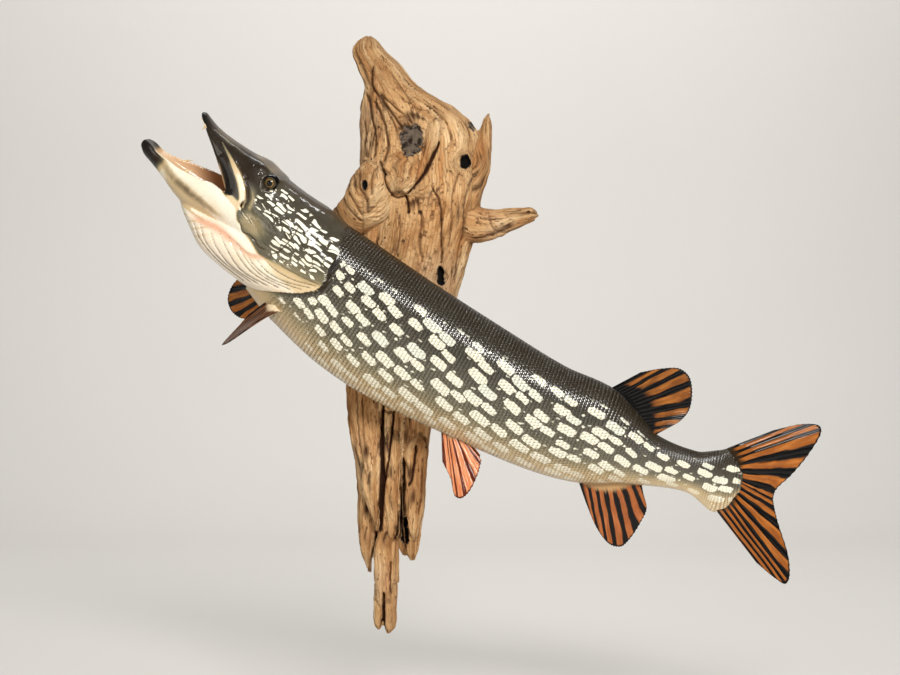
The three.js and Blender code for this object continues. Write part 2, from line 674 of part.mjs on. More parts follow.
function sidewaysLimb(stations, grow = 0) {
  const at = measures(stations, 'x');
  const from = stations[0].x;
  const to = stations.at(-1).x;
  const places = ringPlaces(stations, 'x', from - Math.sign(to - from) * grow, to, fineness.knot);
  return tube(places, fineness.knot, (x, turn, reach) => {
    const { z, half, y, depth } = at(x);
    const { h, w } = rounded(turn, squareness.knot);
    const out = weathered(turn, x) * reach;
    return new THREE.Vector3(x, y - (depth + grow) * w * out, z + (half + grow) * h * out);
  });
}

function block(width, depth, height, x, y, z) {
  return solidOf(new THREE.BoxGeometry(width, depth, height).translate(x, y, z));
}

function hollow([x, y, z, across, deep, high]) {
  return solidOf(new THREE.SphereGeometry(1, ...hollowSteps).scale(across, deep, high).translate(x, y, z));
}

// Everything behind the wall plane.
function behindWall() {
  const depth = 2 * clear;
  return block(depth * 4, depth, depth * 8, 0, depth / 2, 0);
}

function hangerPlate(grow = 0) {
  const { width, height, thick, recess, z } = hanger;
  return block(width + 2 * grow, thick + 2 * grow, height + 2 * grow, 0, -thick / 2 - recess, z);
}

function keyhole() {
  const { radius, sides, drop, slotWidth, slotHeight, deep } = keyholeForm;
  const low = hanger.z - drop;
  const hole = new THREE.CylinderGeometry(radius, radius, deep, sides).translate(0, 0, low);
  return solidOf(hole).add(block(slotWidth, deep, slotHeight, 0, 0, low + slotHeight / 2));
}

// ---- Assembly ----

function fishMeshes() {
  const whole = upperHead();
  const covers = [-1, 1].map((side) => whole.intersect(headSpace()).intersect(gillCoverSpace(side)));
  const coverRooms = [-1, 1].map((side) => gillCoverSpace(side, gap));
  const sockets = [-1, 1].map((side) => eyeSolid(side, gap));
  const toothed = joined([whole, ...snoutTeethSolids()]).intersect(headSpace());
  const head = carved(toothed, ...coverRooms, ...sockets);
  const headRoom = upperHead(gap);
  const throat = carved(throatSolid().intersect(headSpace()), headRoom);
  const jaw = carved(lowerJaw(), headRoom, throatSolid(gap));
  const cuts = trunkCuts.slice(1).map((end, i) => (
    trunkLength(trunkCuts[i], end < trunkEnd ? end - gap : end)
  ));
  const lengths = cuts.map((solid, i) => (i === 0 ? carved(solid, headSpace(slantedGap)) : solid));
  const trunkRoom = trunkLength(0, trunkEnd, gap);
  const meshes = [
    meshOf('head', head, colours.back),
    meshOf('lower_jaw', jaw, colours.jaw),
    meshOf('throat', throat, colours.jaw),
    ...lengths.map((solid, i) => meshOf(trunkNames[i], solid, colours.flank)),
  ];
  ['right', 'left'].forEach((name, i) => {
    const side = i * 2 - 1;
    meshes.push(meshOf(`gill_cover_${name}`, covers[i], colours.flank));
    meshes.push(meshOf(`maxilla_${name}`, carved(maxillaSolid(side), headRoom, lowerJaw()), colours.lip));
    meshes.push(meshOf(`eye_${name}`, eyeSolid(side), colours.eye, 0.05));
  });
  const membrane = throatSolid(gap).intersect(headSpace(gap));
  Object.entries(fins).forEach(([name, fin]) => {
    meshes.push(meshOf(name, carved(finSolid(fin), trunkRoom, membrane), colours.fin));
  });
  return meshes;
}

function driftwoodMeshes() {
  const fishRoom = trunkLength(0, trunkEnd, gap);
  const wall = behindWall();
  const hollowsOf = (name) => (hollows[name] ?? []).map(hollow);
  const whole = uprightLimb(woodStations, fineness.wood);
  const lengths = woodNames.map((name, i) => {
    const low = woodCuts[i + 1] + (i < woodNames.length - 1 ? gap : 0);
    const high = woodCuts[i];
    return whole.intersect(block(clear * 4, clear * 2, high - low, 0, 0, (high + low) / 2));
  });
  const mainRoom = uprightLimb(woodStations, fineness.wood, gap, woodCuts[0], woodCuts.at(-1) - gap);
  const plateRoom = hangerPlate(gap);
  const meshes = lengths.map((solid, i) => {
    const cutters = [wall, fishRoom, plateRoom, ...hollowsOf(woodNames[i])];
    return meshOf(woodNames[i], carved(solid, ...cutters), colours.wood, 0.8);
  });
  const limbs = [
    ...Object.entries(limbStations).map(([name, rows]) => ({
      name, solid: uprightLimb(rows, fineness.limb), room: uprightLimb(rows, fineness.limb, gap),
    })),
    ...Object.entries(sidewaysStations).map(([name, rows]) => ({
      name, solid: sidewaysLimb(rows), room: sidewaysLimb(rows, gap),
    })),
  ];
  limbs.forEach(({ name, solid }, i) => {
    const rooms = [mainRoom, wall, fishRoom, ...limbs.slice(0, i).map((limb) => limb.room)];
    meshes.push(meshOf(name, carved(solid, ...rooms, ...hollowsOf(name)), colours.woodDark, 0.8));
  });
  meshes.push(meshOf('hanger_plate', carved(hangerPlate(), keyhole()), colours.steel, 0.4, 0.9));
  return meshes;
}

const group = new THREE.Group();
group.name = 'mounted_pike';
[...fishMeshes(), ...driftwoodMeshes()].forEach((mesh) => group.add(mesh));

export default group;
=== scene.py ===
import math

import bmesh
import bpy
import numpy as np
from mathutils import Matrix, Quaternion, Vector, noise
from mathutils.kdtree import KDTree


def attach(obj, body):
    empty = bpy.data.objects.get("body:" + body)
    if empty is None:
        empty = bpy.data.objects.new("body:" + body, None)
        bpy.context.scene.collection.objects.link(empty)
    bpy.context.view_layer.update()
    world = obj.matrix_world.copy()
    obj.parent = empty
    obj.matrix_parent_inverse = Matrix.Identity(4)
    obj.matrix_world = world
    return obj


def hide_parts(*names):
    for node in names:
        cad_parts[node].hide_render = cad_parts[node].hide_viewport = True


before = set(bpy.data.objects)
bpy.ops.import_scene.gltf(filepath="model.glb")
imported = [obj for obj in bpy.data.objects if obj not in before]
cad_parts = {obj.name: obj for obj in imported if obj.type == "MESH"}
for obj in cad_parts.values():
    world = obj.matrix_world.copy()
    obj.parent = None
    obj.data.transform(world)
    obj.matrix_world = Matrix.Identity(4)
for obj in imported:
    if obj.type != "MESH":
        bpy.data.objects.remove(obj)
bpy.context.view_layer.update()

print("frame:", len(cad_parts), "solids")

mm = 0.001
near = np.array([0.0, -1.0, 0.0])  # from the wall towards the room
rng = np.random.default_rng(7)


def tone(red, green, blue):  # a screen colour as the linear one that shaders take
    return (*[(part / 255) ** 2.2 for part in (red, green, blue)], 1)


# Camera and light

view = {
    "place": (0.04725, -2.483, -0.0506),
    "lens": 70,
    "floor": -0.62,
    "front": -3.4,  # where the floor begins
    "backdrop": 3.6,
    "world": 0.13,
    "colours": "Standard",
}
# name: place, target, width, height, turn, power, colour
lamps = {
    "key": ((0.74, -2.72, 1.18), (0.05, -0.1, -0.03), 1.5, 0.7, -32, 94, (1, 0.985, 0.96)),
    "fill": ((-1.8, -1.9, 0.1), (0, -0.1, 0), 1.2, 1.2, 0, 10, (1, 0.94, 0.86)),
    "rear": ((0, 0.9, 2.9), (0, 3.1, 0.4), 3, 0.6, 0, 90, (1, 1, 1)),
}


def addCamera():
    data = bpy.data.cameras.new("camera")
    data.lens = view["lens"]
    data.sensor_width = 36
    camera = bpy.data.objects.new("camera", data)
    camera.location = view["place"]
    camera.rotation_euler = (math.radians(90), 0, 0)
    bpy.context.scene.collection.objects.link(camera)
    bpy.context.scene.camera = camera


def addLamp(name, place, target, width, height, turn, power, colour):
    data = bpy.data.lights.new(name, "AREA")
    data.shape = "RECTANGLE"
    data.size = width
    data.size_y = height
    data.energy = power
    data.color = colour
    lamp = bpy.data.objects.new(name, data)
    lamp.location = place
    facing = (Vector(target) - Vector(place)).to_track_quat("-Z", "Y")
    lamp.rotation_euler = (facing @ Quaternion((0, 0, 1), math.radians(turn))).to_euler()
    bpy.context.scene.collection.objects.link(lamp)


def addWorld():
    world = bpy.data.worlds.new("studio")
    world.use_nodes = True
    sky = world.node_tree.nodes["Background"]
    sky.inputs["Color"].default_value = (1, 0.985, 0.965, 1)
    sky.inputs["Strength"].default_value = view["world"]
    bpy.context.scene.world = world
    bpy.context.scene.view_settings.view_transform = view["colours"]


addCamera()
for lampName, lampValues in lamps.items():
    addLamp(lampName, *lampValues)
addWorld()
print("camera and light: done")


# Shader nodes


def place(tree, kind, wires=None, **settings):  # a node with its settings, and its inputs wired or set
    node = tree.nodes.new(kind)
    for name, value in settings.items():
        setattr(node, name, value)
    for name, value in (wires or {}).items():
        if isinstance(value, bpy.types.NodeSocket):
            tree.links.new(value, node.inputs[name])
        else:
            node.inputs[name].default_value = value
    return node


def calc(tree, operation, first, second=0.0, third=0.0):
    return place(tree, "ShaderNodeMath", {0: first, 1: second, 2: third}, operation=operation).outputs[0]


def blendOf(tree, share, first, second, mode="MIX"):  # one colour over another
    return place(tree, "ShaderNodeMix", {"Factor": share, 6: first, 7: second}, data_type="RGBA",
                 blend_type=mode).outputs[2]


def stepOf(tree, value, low, high):  # 0 at low, 1 at high
    return place(tree, "ShaderNodeMapRange", {"Value": value, "From Min": low, "From Max": high},
                 interpolation_type="SMOOTHSTEP").outputs[0]


def rampOf(tree, value, stops):
    node = place(tree, "ShaderNodeValToRGB", {"Fac": value})
    ramp = node.color_ramp
    while len(ramp.elements) < len(stops):
        ramp.elements.new(1)
    for element, (position, colour) in zip(ramp.elements, stops):
        element.position, element.color = position, colour
    return node.outputs["Color"]


def noiseOf(tree, vector, scale, detail=3.0, roughness=0.5):
    return place(tree, "ShaderNodeTexNoise", {"Vector": vector, "Scale": scale, "Detail": detail,
                                              "Roughness": roughness}).outputs[0]


def axesOf(tree, vector):
    return place(tree, "ShaderNodeSeparateXYZ", {0: vector}).outputs


def vectorOf(tree, x, y, z=0.0):
    return place(tree, "ShaderNodeCombineXYZ", {0: x, 1: y, 2: z}).outputs[0]


def keptOf(tree, name):  # a number or vector kept on the mesh
    return place(tree, "ShaderNodeAttribute", attribute_name=name, attribute_type="GEOMETRY").outputs


def ownPlace(tree):
    return place(tree, "ShaderNodeTexCoord").outputs["Object"]


def bumpOf(tree, height, distance, strength=1.0, normal=None):
    wires = {"Height": height, "Distance": distance, "Strength": strength}
    if normal:
        wires["Normal"] = normal
    return place(tree, "ShaderNodeBump", wires).outputs[0]


def newMaterial(name):
    material = bpy.data.materials.new(name)
    material.use_nodes = True
    tree = material.node_tree
    return material, tree, tree.nodes["Principled BSDF"]


def newGroup(name, inputs, outputs):  # an effect that several materials share
    tree = bpy.data.node_groups.new(name, "ShaderNodeTree")
    for socket, kind in inputs.items():
        tree.interface.new_socket(socket, in_out="INPUT", socket_type="NodeSocket" + kind)
    for socket, kind in outputs.items():
        tree.interface.new_socket(socket, in_out="OUTPUT", socket_type="NodeSocket" + kind)
    return tree, tree.nodes.new("NodeGroupInput").outputs, tree.nodes.new("NodeGroupOutput").inputs


def useGroup(tree, group, wires):
    node = tree.nodes.new("ShaderNodeGroup")
    node.node_tree = group
    for name, value in wires.items():
        if isinstance(value, bpy.types.NodeSocket):
            tree.links.new(value, node.inputs[name])
        else:
            node.inputs[name].default_value = value
    return node.outputs


def dress(piece, material):
    piece.data.materials.clear()
    piece.data.materials.append(material)


# Curves and lofts


def smoothly(rows):  # the measures of a list of stations, smoothly, at any place along them
    rows = np.array(sorted(rows), float)
    places, values = rows[:, 0], rows[:, 1:]
    slopes = np.zeros_like(values)
    slopes[1:-1] = (values[2:] - values[:-2]) / (places[2:] - places[:-2])[:, None]

    def at(where):
        where = np.clip(np.asarray(where, float), places[0], places[-1])
        i = np.clip(np.searchsorted(places, where, side="right") - 1, 0, len(places) - 2)
        span = (places[i + 1] - places[i])[..., None]
        u = (where - places[i])[..., None] / span
        start = values[i] * (1 + 2 * u) * (1 - u) ** 2 + slopes[i] * span * u * (1 - u) ** 2
        end = values[i + 1] * u * u * (3 - 2 * u) + slopes[i + 1] * span * u * u * (u - 1)
        return np.moveaxis(start + end, -1, 0)

    return at


def throughPoints(points):  # a round curve through points, at a share 0 to 1 of its spans
    points = np.array(points, float)
    padded = np.vstack([2 * points[0] - points[1], points, 2 * points[-1] - points[-2]])

    def at(share):
        place = np.clip(np.asarray(share, float), 0, 1) * (len(points) - 1)
        i = np.minimum(place.astype(int), len(points) - 2)
        u = (place - i)[..., None]
        p0, p1, p2, p3 = (padded[i + k] for k in range(4))
        g0, g1, g2 = (np.sqrt(np.linalg.norm(b - a, axis=-1, keepdims=True))
                      for a, b in ((p0, p1), (p1, p2), (p2, p3)))
        t1 = ((p1 - p0) / g0 - (p2 - p0) / (g0 + g1) + (p2 - p1) / g1) * g1
        t2 = ((p2 - p1) / g1 - (p3 - p1) / (g1 + g2) + (p3 - p2) / g2) * g1
        return p1 + t1 * u + (3 * (p2 - p1) - 2 * t1 - t2) * u ** 2 + (2 * (p1 - p2) + t1 + t2) * u ** 3

    return at


def rounded(turn, power):  # a point of a rounded square: 2 is a circle, more is squarer
    cos, sin = np.cos(turn), np.sin(turn)
    return np.sign(cos) * np.abs(cos) ** (2 / power), np.sign(sin) * np.abs(sin) ** (2 / power)


def loft(lengthSteps, aroundSteps, pointAt, openStart=False, values=None):
    # a tube: pointAt(share, turn) places it, with share 0 to 1 along it and turn -pi to pi round it
    bm = bmesh.new()
    bmesh.ops.create_grid(bm, x_segments=lengthSteps, y_segments=aroundSteps, size=0.5)
    flat = np.array([vert.co[:] for vert in bm.verts])
    share = np.rint((flat[:, 0] + 0.5) * lengthSteps) / lengthSteps
    turn = (np.rint((flat[:, 1] + 0.5) * aroundSteps) / aroundSteps * 2 - 1) * math.pi
    placed = pointAt(share, turn) * mm
    for vert, point in zip(bm.verts, placed):
        vert.co = point
    if values:  # extra numbers that the surface keeps
        layer = bm.verts.layers.float_vector.new("kept")
        for vert, kept in zip(bm.verts, values(share, turn)):
            vert[layer] = kept
    startEdges = [edge for edge, a in ((edge, edge.verts[0].index) for edge in bm.edges)
                  if share[a] == 0 and share[edge.verts[1].index] == 0]
    endEdges = [edge for edge, a in ((edge, edge.verts[0].index) for edge in bm.edges)
                if share[a] == 1 and share[edge.verts[1].index] == 1]
    for ends in ([] if openStart else [startEdges]) + [endEdges]:
        bmesh.ops.contextual_create(bm, geom=ends)
    bmesh.ops.remove_doubles(bm, verts=bm.verts, dist=1e-6)
    bmesh.ops.recalc_face_normals(bm, faces=bm.faces)
    return bm


def gathered(parts):  # several shapes in one
    whole = bmesh.new()
    for part in parts:
        mesh = bpy.data.meshes.new("part")
        part.to_mesh(mesh)
        part.free()
        whole.from_mesh(mesh)
        bpy.data.meshes.remove(mesh)
    return whole


def pieceOf(name, bm, smooth=True):
    mesh = bpy.data.meshes.new(name)
    bm.to_mesh(mesh)
    bm.free()
    mesh.shade_smooth() if smooth else None
    piece = bpy.data.objects.new(name, mesh)
    bpy.context.scene.collection.objects.link(piece)
    return piece


def evenly(name, bm, size):  # one closed skin over overlapping shapes
    piece = pieceOf(name, bm)
    remesh = piece.modifiers.new("one skin", "REMESH")
    remesh.mode = "VOXEL"
    remesh.voxel_size = size * mm
    whole = bpy.data.meshes.new_from_object(piece.evaluated_get(bpy.context.evaluated_depsgraph_get()))
    bpy.data.objects.remove(piece)
    even = bmesh.new()
    even.from_mesh(whole)
    bpy.data.meshes.remove(whole)
    return even


def places(mesh):
    found = np.empty(len(mesh.vertices) * 3)
    mesh.vertices.foreach_get("co", found)
    return found.reshape(-1, 3) / mm


def normals(mesh):
    found = np.empty(len(mesh.vertices) * 3)
    mesh.vertices.foreach_get("normal", found)
    return found.reshape(-1, 3)


def keep(mesh, name, kind, values):  # a number or vector for each point, for the material
    layer = mesh.attributes.new(name, kind, "POINT")
    layer.data.foreach_set("value" if kind == "FLOAT" else "vector", np.ascontiguousarray(values, dtype=np.float32).ravel())


def between(value, low, high):  # 0 at low, 1 at high, smooth between
    u = np.clip((value - low) / (high - low), 0, 1)
    return u * u * (3 - 2 * u)


# The fish: the same stations as its solids, in mm

headForm = {
    "snoutTip": (-283.5, -121, 252.5),
    "pitch": 42,
    "roll": 14,
    "axisDrop": -61,
    "cheek": 2.9,
    # s, top, floor, half width, crown, squareness
    "stations": [
        (0, 2, -2, 4, 0, 2.2), (4, 4, -5, 9, 0, 2.2), (12, 2, -8, 13.5, 0.1, 2.4), (24, -0.5, -10.5, 18, 0.25, 2.6),
        (45, -1.5, -17, 23.5, 0.3, 2.8), (68, 2, -23, 27, 0.3, 2.8), (90, 6.2, -31, 32, 0.26, 3.2),
        (108, 11, -41, 37, 0.22, 3.8), (128, 9.8, -60, 42, 0.2, 3.8), (153, 10, -73, 47, 0.24, 3),
        (188, 14, -80, 53, 0.22, 2.6), (223, 20, -73, 56, 0.18, 2.4), (257, 21.5, -58, 58, 0.12, 2.3),
        (285, 23, -52, 57, 0.1, 2.3),
    ],
    # the line where the head ends, as (d, s)
    "gillLine": [
        (60, 254), (40, 254), (16, 257), (-1, 264), (-31, 270), (-56, 277), (-80, 262), (-101, 238),
        (-120, 216), (-135, 192), (-155, 165),
    ],
}
throatForm = {
    "square": 2.1,
    # s, top, floor, half width
    "stations": [
        (50, -103, -108, 4), (53, -98, -112, 11), (62, -92, -118, 20), (84, -88, -128, 31), (115, -76, -140.5, 42),
        (151, -58, -142, 48), (188, -44, -139, 52), (225, -30, -136, 55), (285, -20, -125, 56),
    ],
}
jawForm = {
    "square": 2.4,
    "rimStart": 0.6,
    "rimEnd": 0.7,
    # s, rim, keel, half width, wall, channel
    "stations": [
        (-38, -84, -87, 3, 1, 0), (-37, -81, -90, 6.5, 3, 0), (-34, -78.5, -92.5, 9.5, 5, 0),
        (-25, -77.5, -97, 14, 7, 0.5), (-9, -79.5, -99, 17.5, 7, 3), (13, -74, -102.5, 24, 5.5, 14),
        (38, -65, -108.5, 30, 5.5, 24), (63, -57, -111, 36, 6, 32), (84, -53, -107, 40, 7, 34),
        (124, -51, -98, 44.5, 9, 26), (150, -56, -91, 47, 12, 12), (184, -66, -82, 43, 14, 0),
    ],
}
lipForm = {
    "upper": [(20, -7), (34, -8.5), (60, -11), (80, -13), (98, -16.5), (112, -23), (122, -33), (127, -45)],
    "lower": [(20, -9.5), (42, -19.5), (60, -29), (76, -38), (90, -46.5), (103, -54), (114, -57.5), (123, -54)],
    "thickness": 6,
}
trunkForm = {
    "square": 2.2,
    "end": 729,
    # at, x, z, up, down, half width, roll
    "stations": [
        (0, -194, 90, 74, 76, 45, 14), (41, -165, 61, 81, 81, 51, 14), (82, -136, 31, 86, 84, 54, 13),
        (154, -80, -13, 90, 91, 57, 12), (228, -18, -54, 89, 91, 57, 11), (337, 77, -108, 83, 83, 54, 10),
        (444, 173, -155, 73, 78, 47, 9), (516, 240, -181, 69, 71, 39, 8), (556, 277, -197, 53, 57, 31, 7),
        (595, 312, -213, 36, 39, 22, 5), (658, 373, -231, 28.5, 29.5, 14, 3), (687, 401, -238, 37, 42, 10.5, 1),
        (703, 416, -242, 44, 46, 7.5, 0), (718, 431, -244, 36, 37, 5.5, 0), (729, 442, -246, 18, 18, 3.5, 0),
    ],
}
skinForm = {
    "coatDepth": 0.5,  # the skin lies this far inside the solids
    "fine": 1.35,  # size of the faces on the head
    "napeBlend": 14,  # how far the head's end is smoothed into the nape
    "seam": 122,  # along the trunk, where the fine skin meets the plain one
    "aroundTrunk": 132,
    "stepsAlongTrunk": 150,
}

pitch, roll = math.radians(headForm["pitch"]), math.radians(headForm["roll"])
back = np.array([math.cos(pitch), 0, -math.sin(pitch)])
dorsal = np.array([math.sin(pitch), 0, math.cos(pitch)])
rolledUp = dorsal * math.cos(roll) + near * math.sin(roll)
rolledOut = near * math.cos(roll) - dorsal * math.sin(roll)
headAxis = np.array(headForm["snoutTip"]) + dorsal * headForm["axisDrop"]

headAt = smoothly(headForm["stations"])
throatAt = smoothly(throatForm["stations"])
jawAt = smoothly(jawForm["stations"])
trunkAt = smoothly(trunkForm["stations"])
gillAt = smoothly(headForm["gillLine"])


def headPoint(s, d, w):  # s runs back from the snout, d up and w out towards the near side
    return (headAxis + np.multiply.outer(s, back)
            + np.multiply.outer(d - headForm["axisDrop"], rolledUp) + np.multiply.outer(w, rolledOut))


def inHead(points):  # the same three measures of any points
    away = points - headAxis
    return away @ back, away @ rolledUp + headForm["axisDrop"], away @ rolledOut


def trunkFrame(at):  # middle, direction, upward and outward of a section
    x, z, up, down, half, turned = trunkAt(at)
    before, after = trunkAt(np.maximum(0, at - 2)), trunkAt(np.minimum(trunkForm["end"], at + 2))
    ahead = np.stack([after[0] - before[0], np.zeros_like(x), after[1] - before[1]], -1)
    ahead /= np.linalg.norm(ahead, axis=-1, keepdims=True)
    level = np.stack([-ahead[..., 2], np.zeros_like(x), ahead[..., 0]], -1)
    cos, sin = np.cos(np.radians(turned))[..., None], np.sin(np.radians(turned))[..., None]
    middle = np.stack([x, np.full_like(x, headForm["snoutTip"][1]), z], -1)
    return middle, ahead, level * cos + near * sin, near * cos - level * sin, (up, down, half)


def trunkPoint(at, turn, grow=0.0):
    middle, ahead, upward, outward, (up, down, half) = trunkFrame(at)
    h, w = rounded(turn, trunkForm["square"])
    high = (np.where(h > 0, up, down) + grow) * h
    return middle + upward * high[..., None] + outward * ((half + grow) * w)[..., None]


def headRing(measures, s, turn, floorSquare, grow):
    top, floor, half = measures[:3]
    crown, square = (measures[3], measures[4]) if len(measures) > 3 else (0, floorSquare)
    h, w = rounded(turn, np.where(np.cos(turn) > 0, square, floorSquare))
    high = (top - floor) / 2 + grow
    wide = (half + grow) * (1 - crown * np.maximum(0, h))
    return (top + floor) / 2 + high * h, wide * w


def toGillLine(measureAt, start, floorSquare, grow):  # rings from the start to the slanting gill line
    def pointAt(share, turn):
        s = np.full_like(turn, 262.0)
        for _ in range(8):
            d, w = headRing(measureAt(s), s, turn, floorSquare, grow)
            s = gillAt(d)[0]
        s = start + (s - start) * share
        d, w = headRing(measureAt(s), s, turn, floorSquare, grow)
        return headPoint(s, d, w)
    return pointAt


def jawPoint(share, turn):
    stations = jawForm["stations"]
    s = stations[0][0] + (stations[-1][0] - stations[0][0]) * share ** 1.15
    rim, keel, half, wall, channel = jawAt(s)
    part = np.abs(turn) / math.pi
    rimStart, rimEnd = jawForm["rimStart"], jawForm["rimEnd"]
    outH, outW = rounded(np.minimum(part / rimStart, 1) * math.pi / 2, jawForm["square"])
    inH, inW = rounded(np.clip((1 - part) / (1 - rimEnd), 0, 1) * math.pi / 2, jawForm["square"])
    d = np.where(part < rimStart, rim - (rim - keel) * outH, np.where(part < rimEnd, rim, rim - channel * inH))
    w = np.where(part < rimStart, half * outW,
                 np.where(part < rimEnd, half - wall * (part - rimStart) / (rimEnd - rimStart), (half - wall) * inW))
    return headPoint(s, d, w * np.sign(turn))


def sideOfHead(s, d):  # how far the side of the head stands out at a height
    top, floor, half, crown, square = headAt(s)
    h = np.clip((2 * d - top - floor) / (top - floor), 0, 0.97)
    return half * (1 - h ** square) ** (1 / square) * (1 - crown * h)


def lipPoint(side):
    upper, lower = throughPoints(lipForm["upper"]), throughPoints(lipForm["lower"])

    def pointAt(share, turn):
        across = 0.5 + 0.5 * np.sin(turn)
        flat = upper(share) * (1 - across)[:, None] + lower(share) * across[:, None]
        proud = lipForm["thickness"] * (0.5 * np.cos(turn) + 0.28) * (1 - 0.5 * (1 - share) ** 3)
        proud *= between(share, 1.03, 0.86)
        w = sideOfHead(flat[:, 0], flat[:, 1]) + proud
        return headPoint(flat[:, 0], flat[:, 1], side * w)
    return pointAt


# Places on the trunk: how far along it, and what share of the way from the back to the belly

tableTurns = np.linspace(0, math.pi, 97)
tablePlaces = np.arange(0, trunkForm["end"] + 1, 3.0)


def girthTables():
    grid = trunkPoint(np.repeat(tablePlaces, len(tableTurns)), np.tile(tableTurns, len(tablePlaces)))
    grid = grid.reshape(len(tablePlaces), len(tableTurns), 3)
    steps = np.linalg.norm(np.diff(grid, axis=1), axis=2)
    passed = np.hstack([np.zeros((len(tablePlaces), 1)), np.cumsum(steps, axis=1)])
    girth = passed[:, -1]
    shares = passed / girth[:, None]
    even = np.linspace(0, 1, len(tableTurns))
    turns = np.array([np.interp(even, row, tableTurns) for row in shares])
    return girth, shares, turns


halfGirth, shareAtTurn, turnAtShare = girthTables()


def fromTable(table, at, x):  # x runs 0 to 1 over the table's columns
    row = np.clip(np.asarray(at) / 3.0, 0, len(table) - 1.001)
    column = np.clip(np.asarray(x), 0, 1) * (table.shape[1] - 1.001)
    i, j = row.astype(int), column.astype(int)
    u, v = row - i, column - j
    low = table[i, j] * (1 - v) + table[i, j + 1] * v
    high = table[i + 1, j] * (1 - v) + table[i + 1, j + 1] * v
    return low * (1 - u) + high * u


def girthAt(at):
    return np.interp(at, tablePlaces, halfGirth)


def onTrunk(points):  # along, share of the half girth from back to belly, and side, of any points
    spine = trunkAt(np.arange(0.0, trunkForm["end"] + 1))[:2].T
    tree = KDTree(len(spine))
    for i, (x, z) in enumerate(spine):
        tree.insert((x, 0, z), i)
    tree.balance()
    at = np.array([float(tree.find((x, 0, z))[1]) for x, _, z in points])
    middle, ahead, upward, outward, (up, down, half) = trunkFrame(at)
    away = points - middle
    at = np.clip(at + (away * ahead).sum(1), 0, trunkForm["end"])
    middle, ahead, upward, outward, (up, down, half) = trunkFrame(at)
    away = points - middle
    high, wide = (away * upward).sum(1), (away * outward).sum(1)
    h, w = high / np.where(high > 0, up, down), wide / half
    power = trunkForm["square"] / 2
    turn = np.arctan2(np.abs(w) ** power, np.sign(h) * np.abs(h) ** power)
    square = trunkForm["square"]
    reach = (np.abs(h) ** square + np.abs(w) ** square) ** (1 / square)
    return at, fromTable(shareAtTurn, at, turn / math.pi), np.sign(wide), reach


def blendNape(points):  # the end of the head sinks into the nape, and stands proud only lower down
    s, d, w = inHead(points)
    behind = s - gillAt(d)[0]
    picked = np.flatnonzero((behind > -60) & (behind < 12) & (d > -40))
    at, share, side, reach = onTrunk(points[picked])
    middle = trunkFrame(at)[0]
    blend = between(behind[picked], -60, -4) * between(share, 0.4, 0.22)
    points[picked] = middle + (points[picked] - middle) * (1 + (0.992 / reach - 1) * blend)[:, None]
    return points


def skinShape():
    grow = -skinForm["coatDepth"]
    parts = [
        loft(190, 150, toGillLine(headAt, 0, headForm["cheek"], grow)),
        loft(120, 130, toGillLine(throatAt, throatForm["stations"][0][0], throatForm["square"], grow)),
        loft(150, 150, jawPoint),
        loft(60, 28, lipPoint(-1)),
        loft(60, 28, lipPoint(1)),
        loft(60, 150, lambda share, turn: trunkPoint(30 + 120 * share, turn, grow)),
    ]
    fine = evenly("fine", gathered(parts), skinForm["fine"])
    seam = skinForm["seam"]
    middle, ahead = trunkFrame(np.array([float(seam)]))[:2]
    bmesh.ops.bisect_plane(fine, geom=[*fine.verts, *fine.edges, *fine.faces],
                           plane_co=middle[0] * mm, plane_no=ahead[0], clear_outer=True)
    start = seam + 2.5
    plain = loft(skinForm["stepsAlongTrunk"], skinForm["aroundTrunk"],
                 lambda share, turn: trunkPoint(start + (trunkForm["end"] - start) * share, turn, grow), openStart=True)
    whole = gathered([fine, plain])
    rims = [edge for edge in whole.edges if edge.is_boundary]
    bmesh.ops.bridge_loops(whole, edges=rims)
    bmesh.ops.triangulate(whole, faces=[face for face in whole.faces if len(face.verts) > 4])
    bmesh.ops.recalc_face_normals(whole, faces=whole.faces)
    axes = {"use_axis_x": True, "use_axis_y": True, "use_axis_z": True}
    for _ in range(3):
        bmesh.ops.smooth_vert(whole, verts=whole.verts, factor=0.5, **axes)
    points = blendNape(np.array([vert.co[:] for vert in whole.verts]) / mm)
    for vert, point in zip(whole.verts, points * mm):
        vert.co = point
    s, d, w = inHead(points)
    nape = (np.abs(s - gillAt(d)[0]) < skinForm["napeBlend"]) & (d > -8)
    nape = [vert for vert, smoothed in zip(whole.verts, nape) if smoothed]
    for _ in range(25):
        bmesh.ops.smooth_vert(whole, verts=nape, factor=0.6, **axes)
    corner = [vert for vert, away in zip(whole.verts, np.hypot((s - 130) / 18, (d + 53) / 14)) if away < 1]
    for _ in range(24):
        bmesh.ops.smooth_vert(whole, verts=corner, factor=0.6, **axes)
    print("skin:", len(whole.verts), "points,", sum(not edge.is_manifold for edge in whole.edges), "open edges")
    return pieceOf("skin", whole)


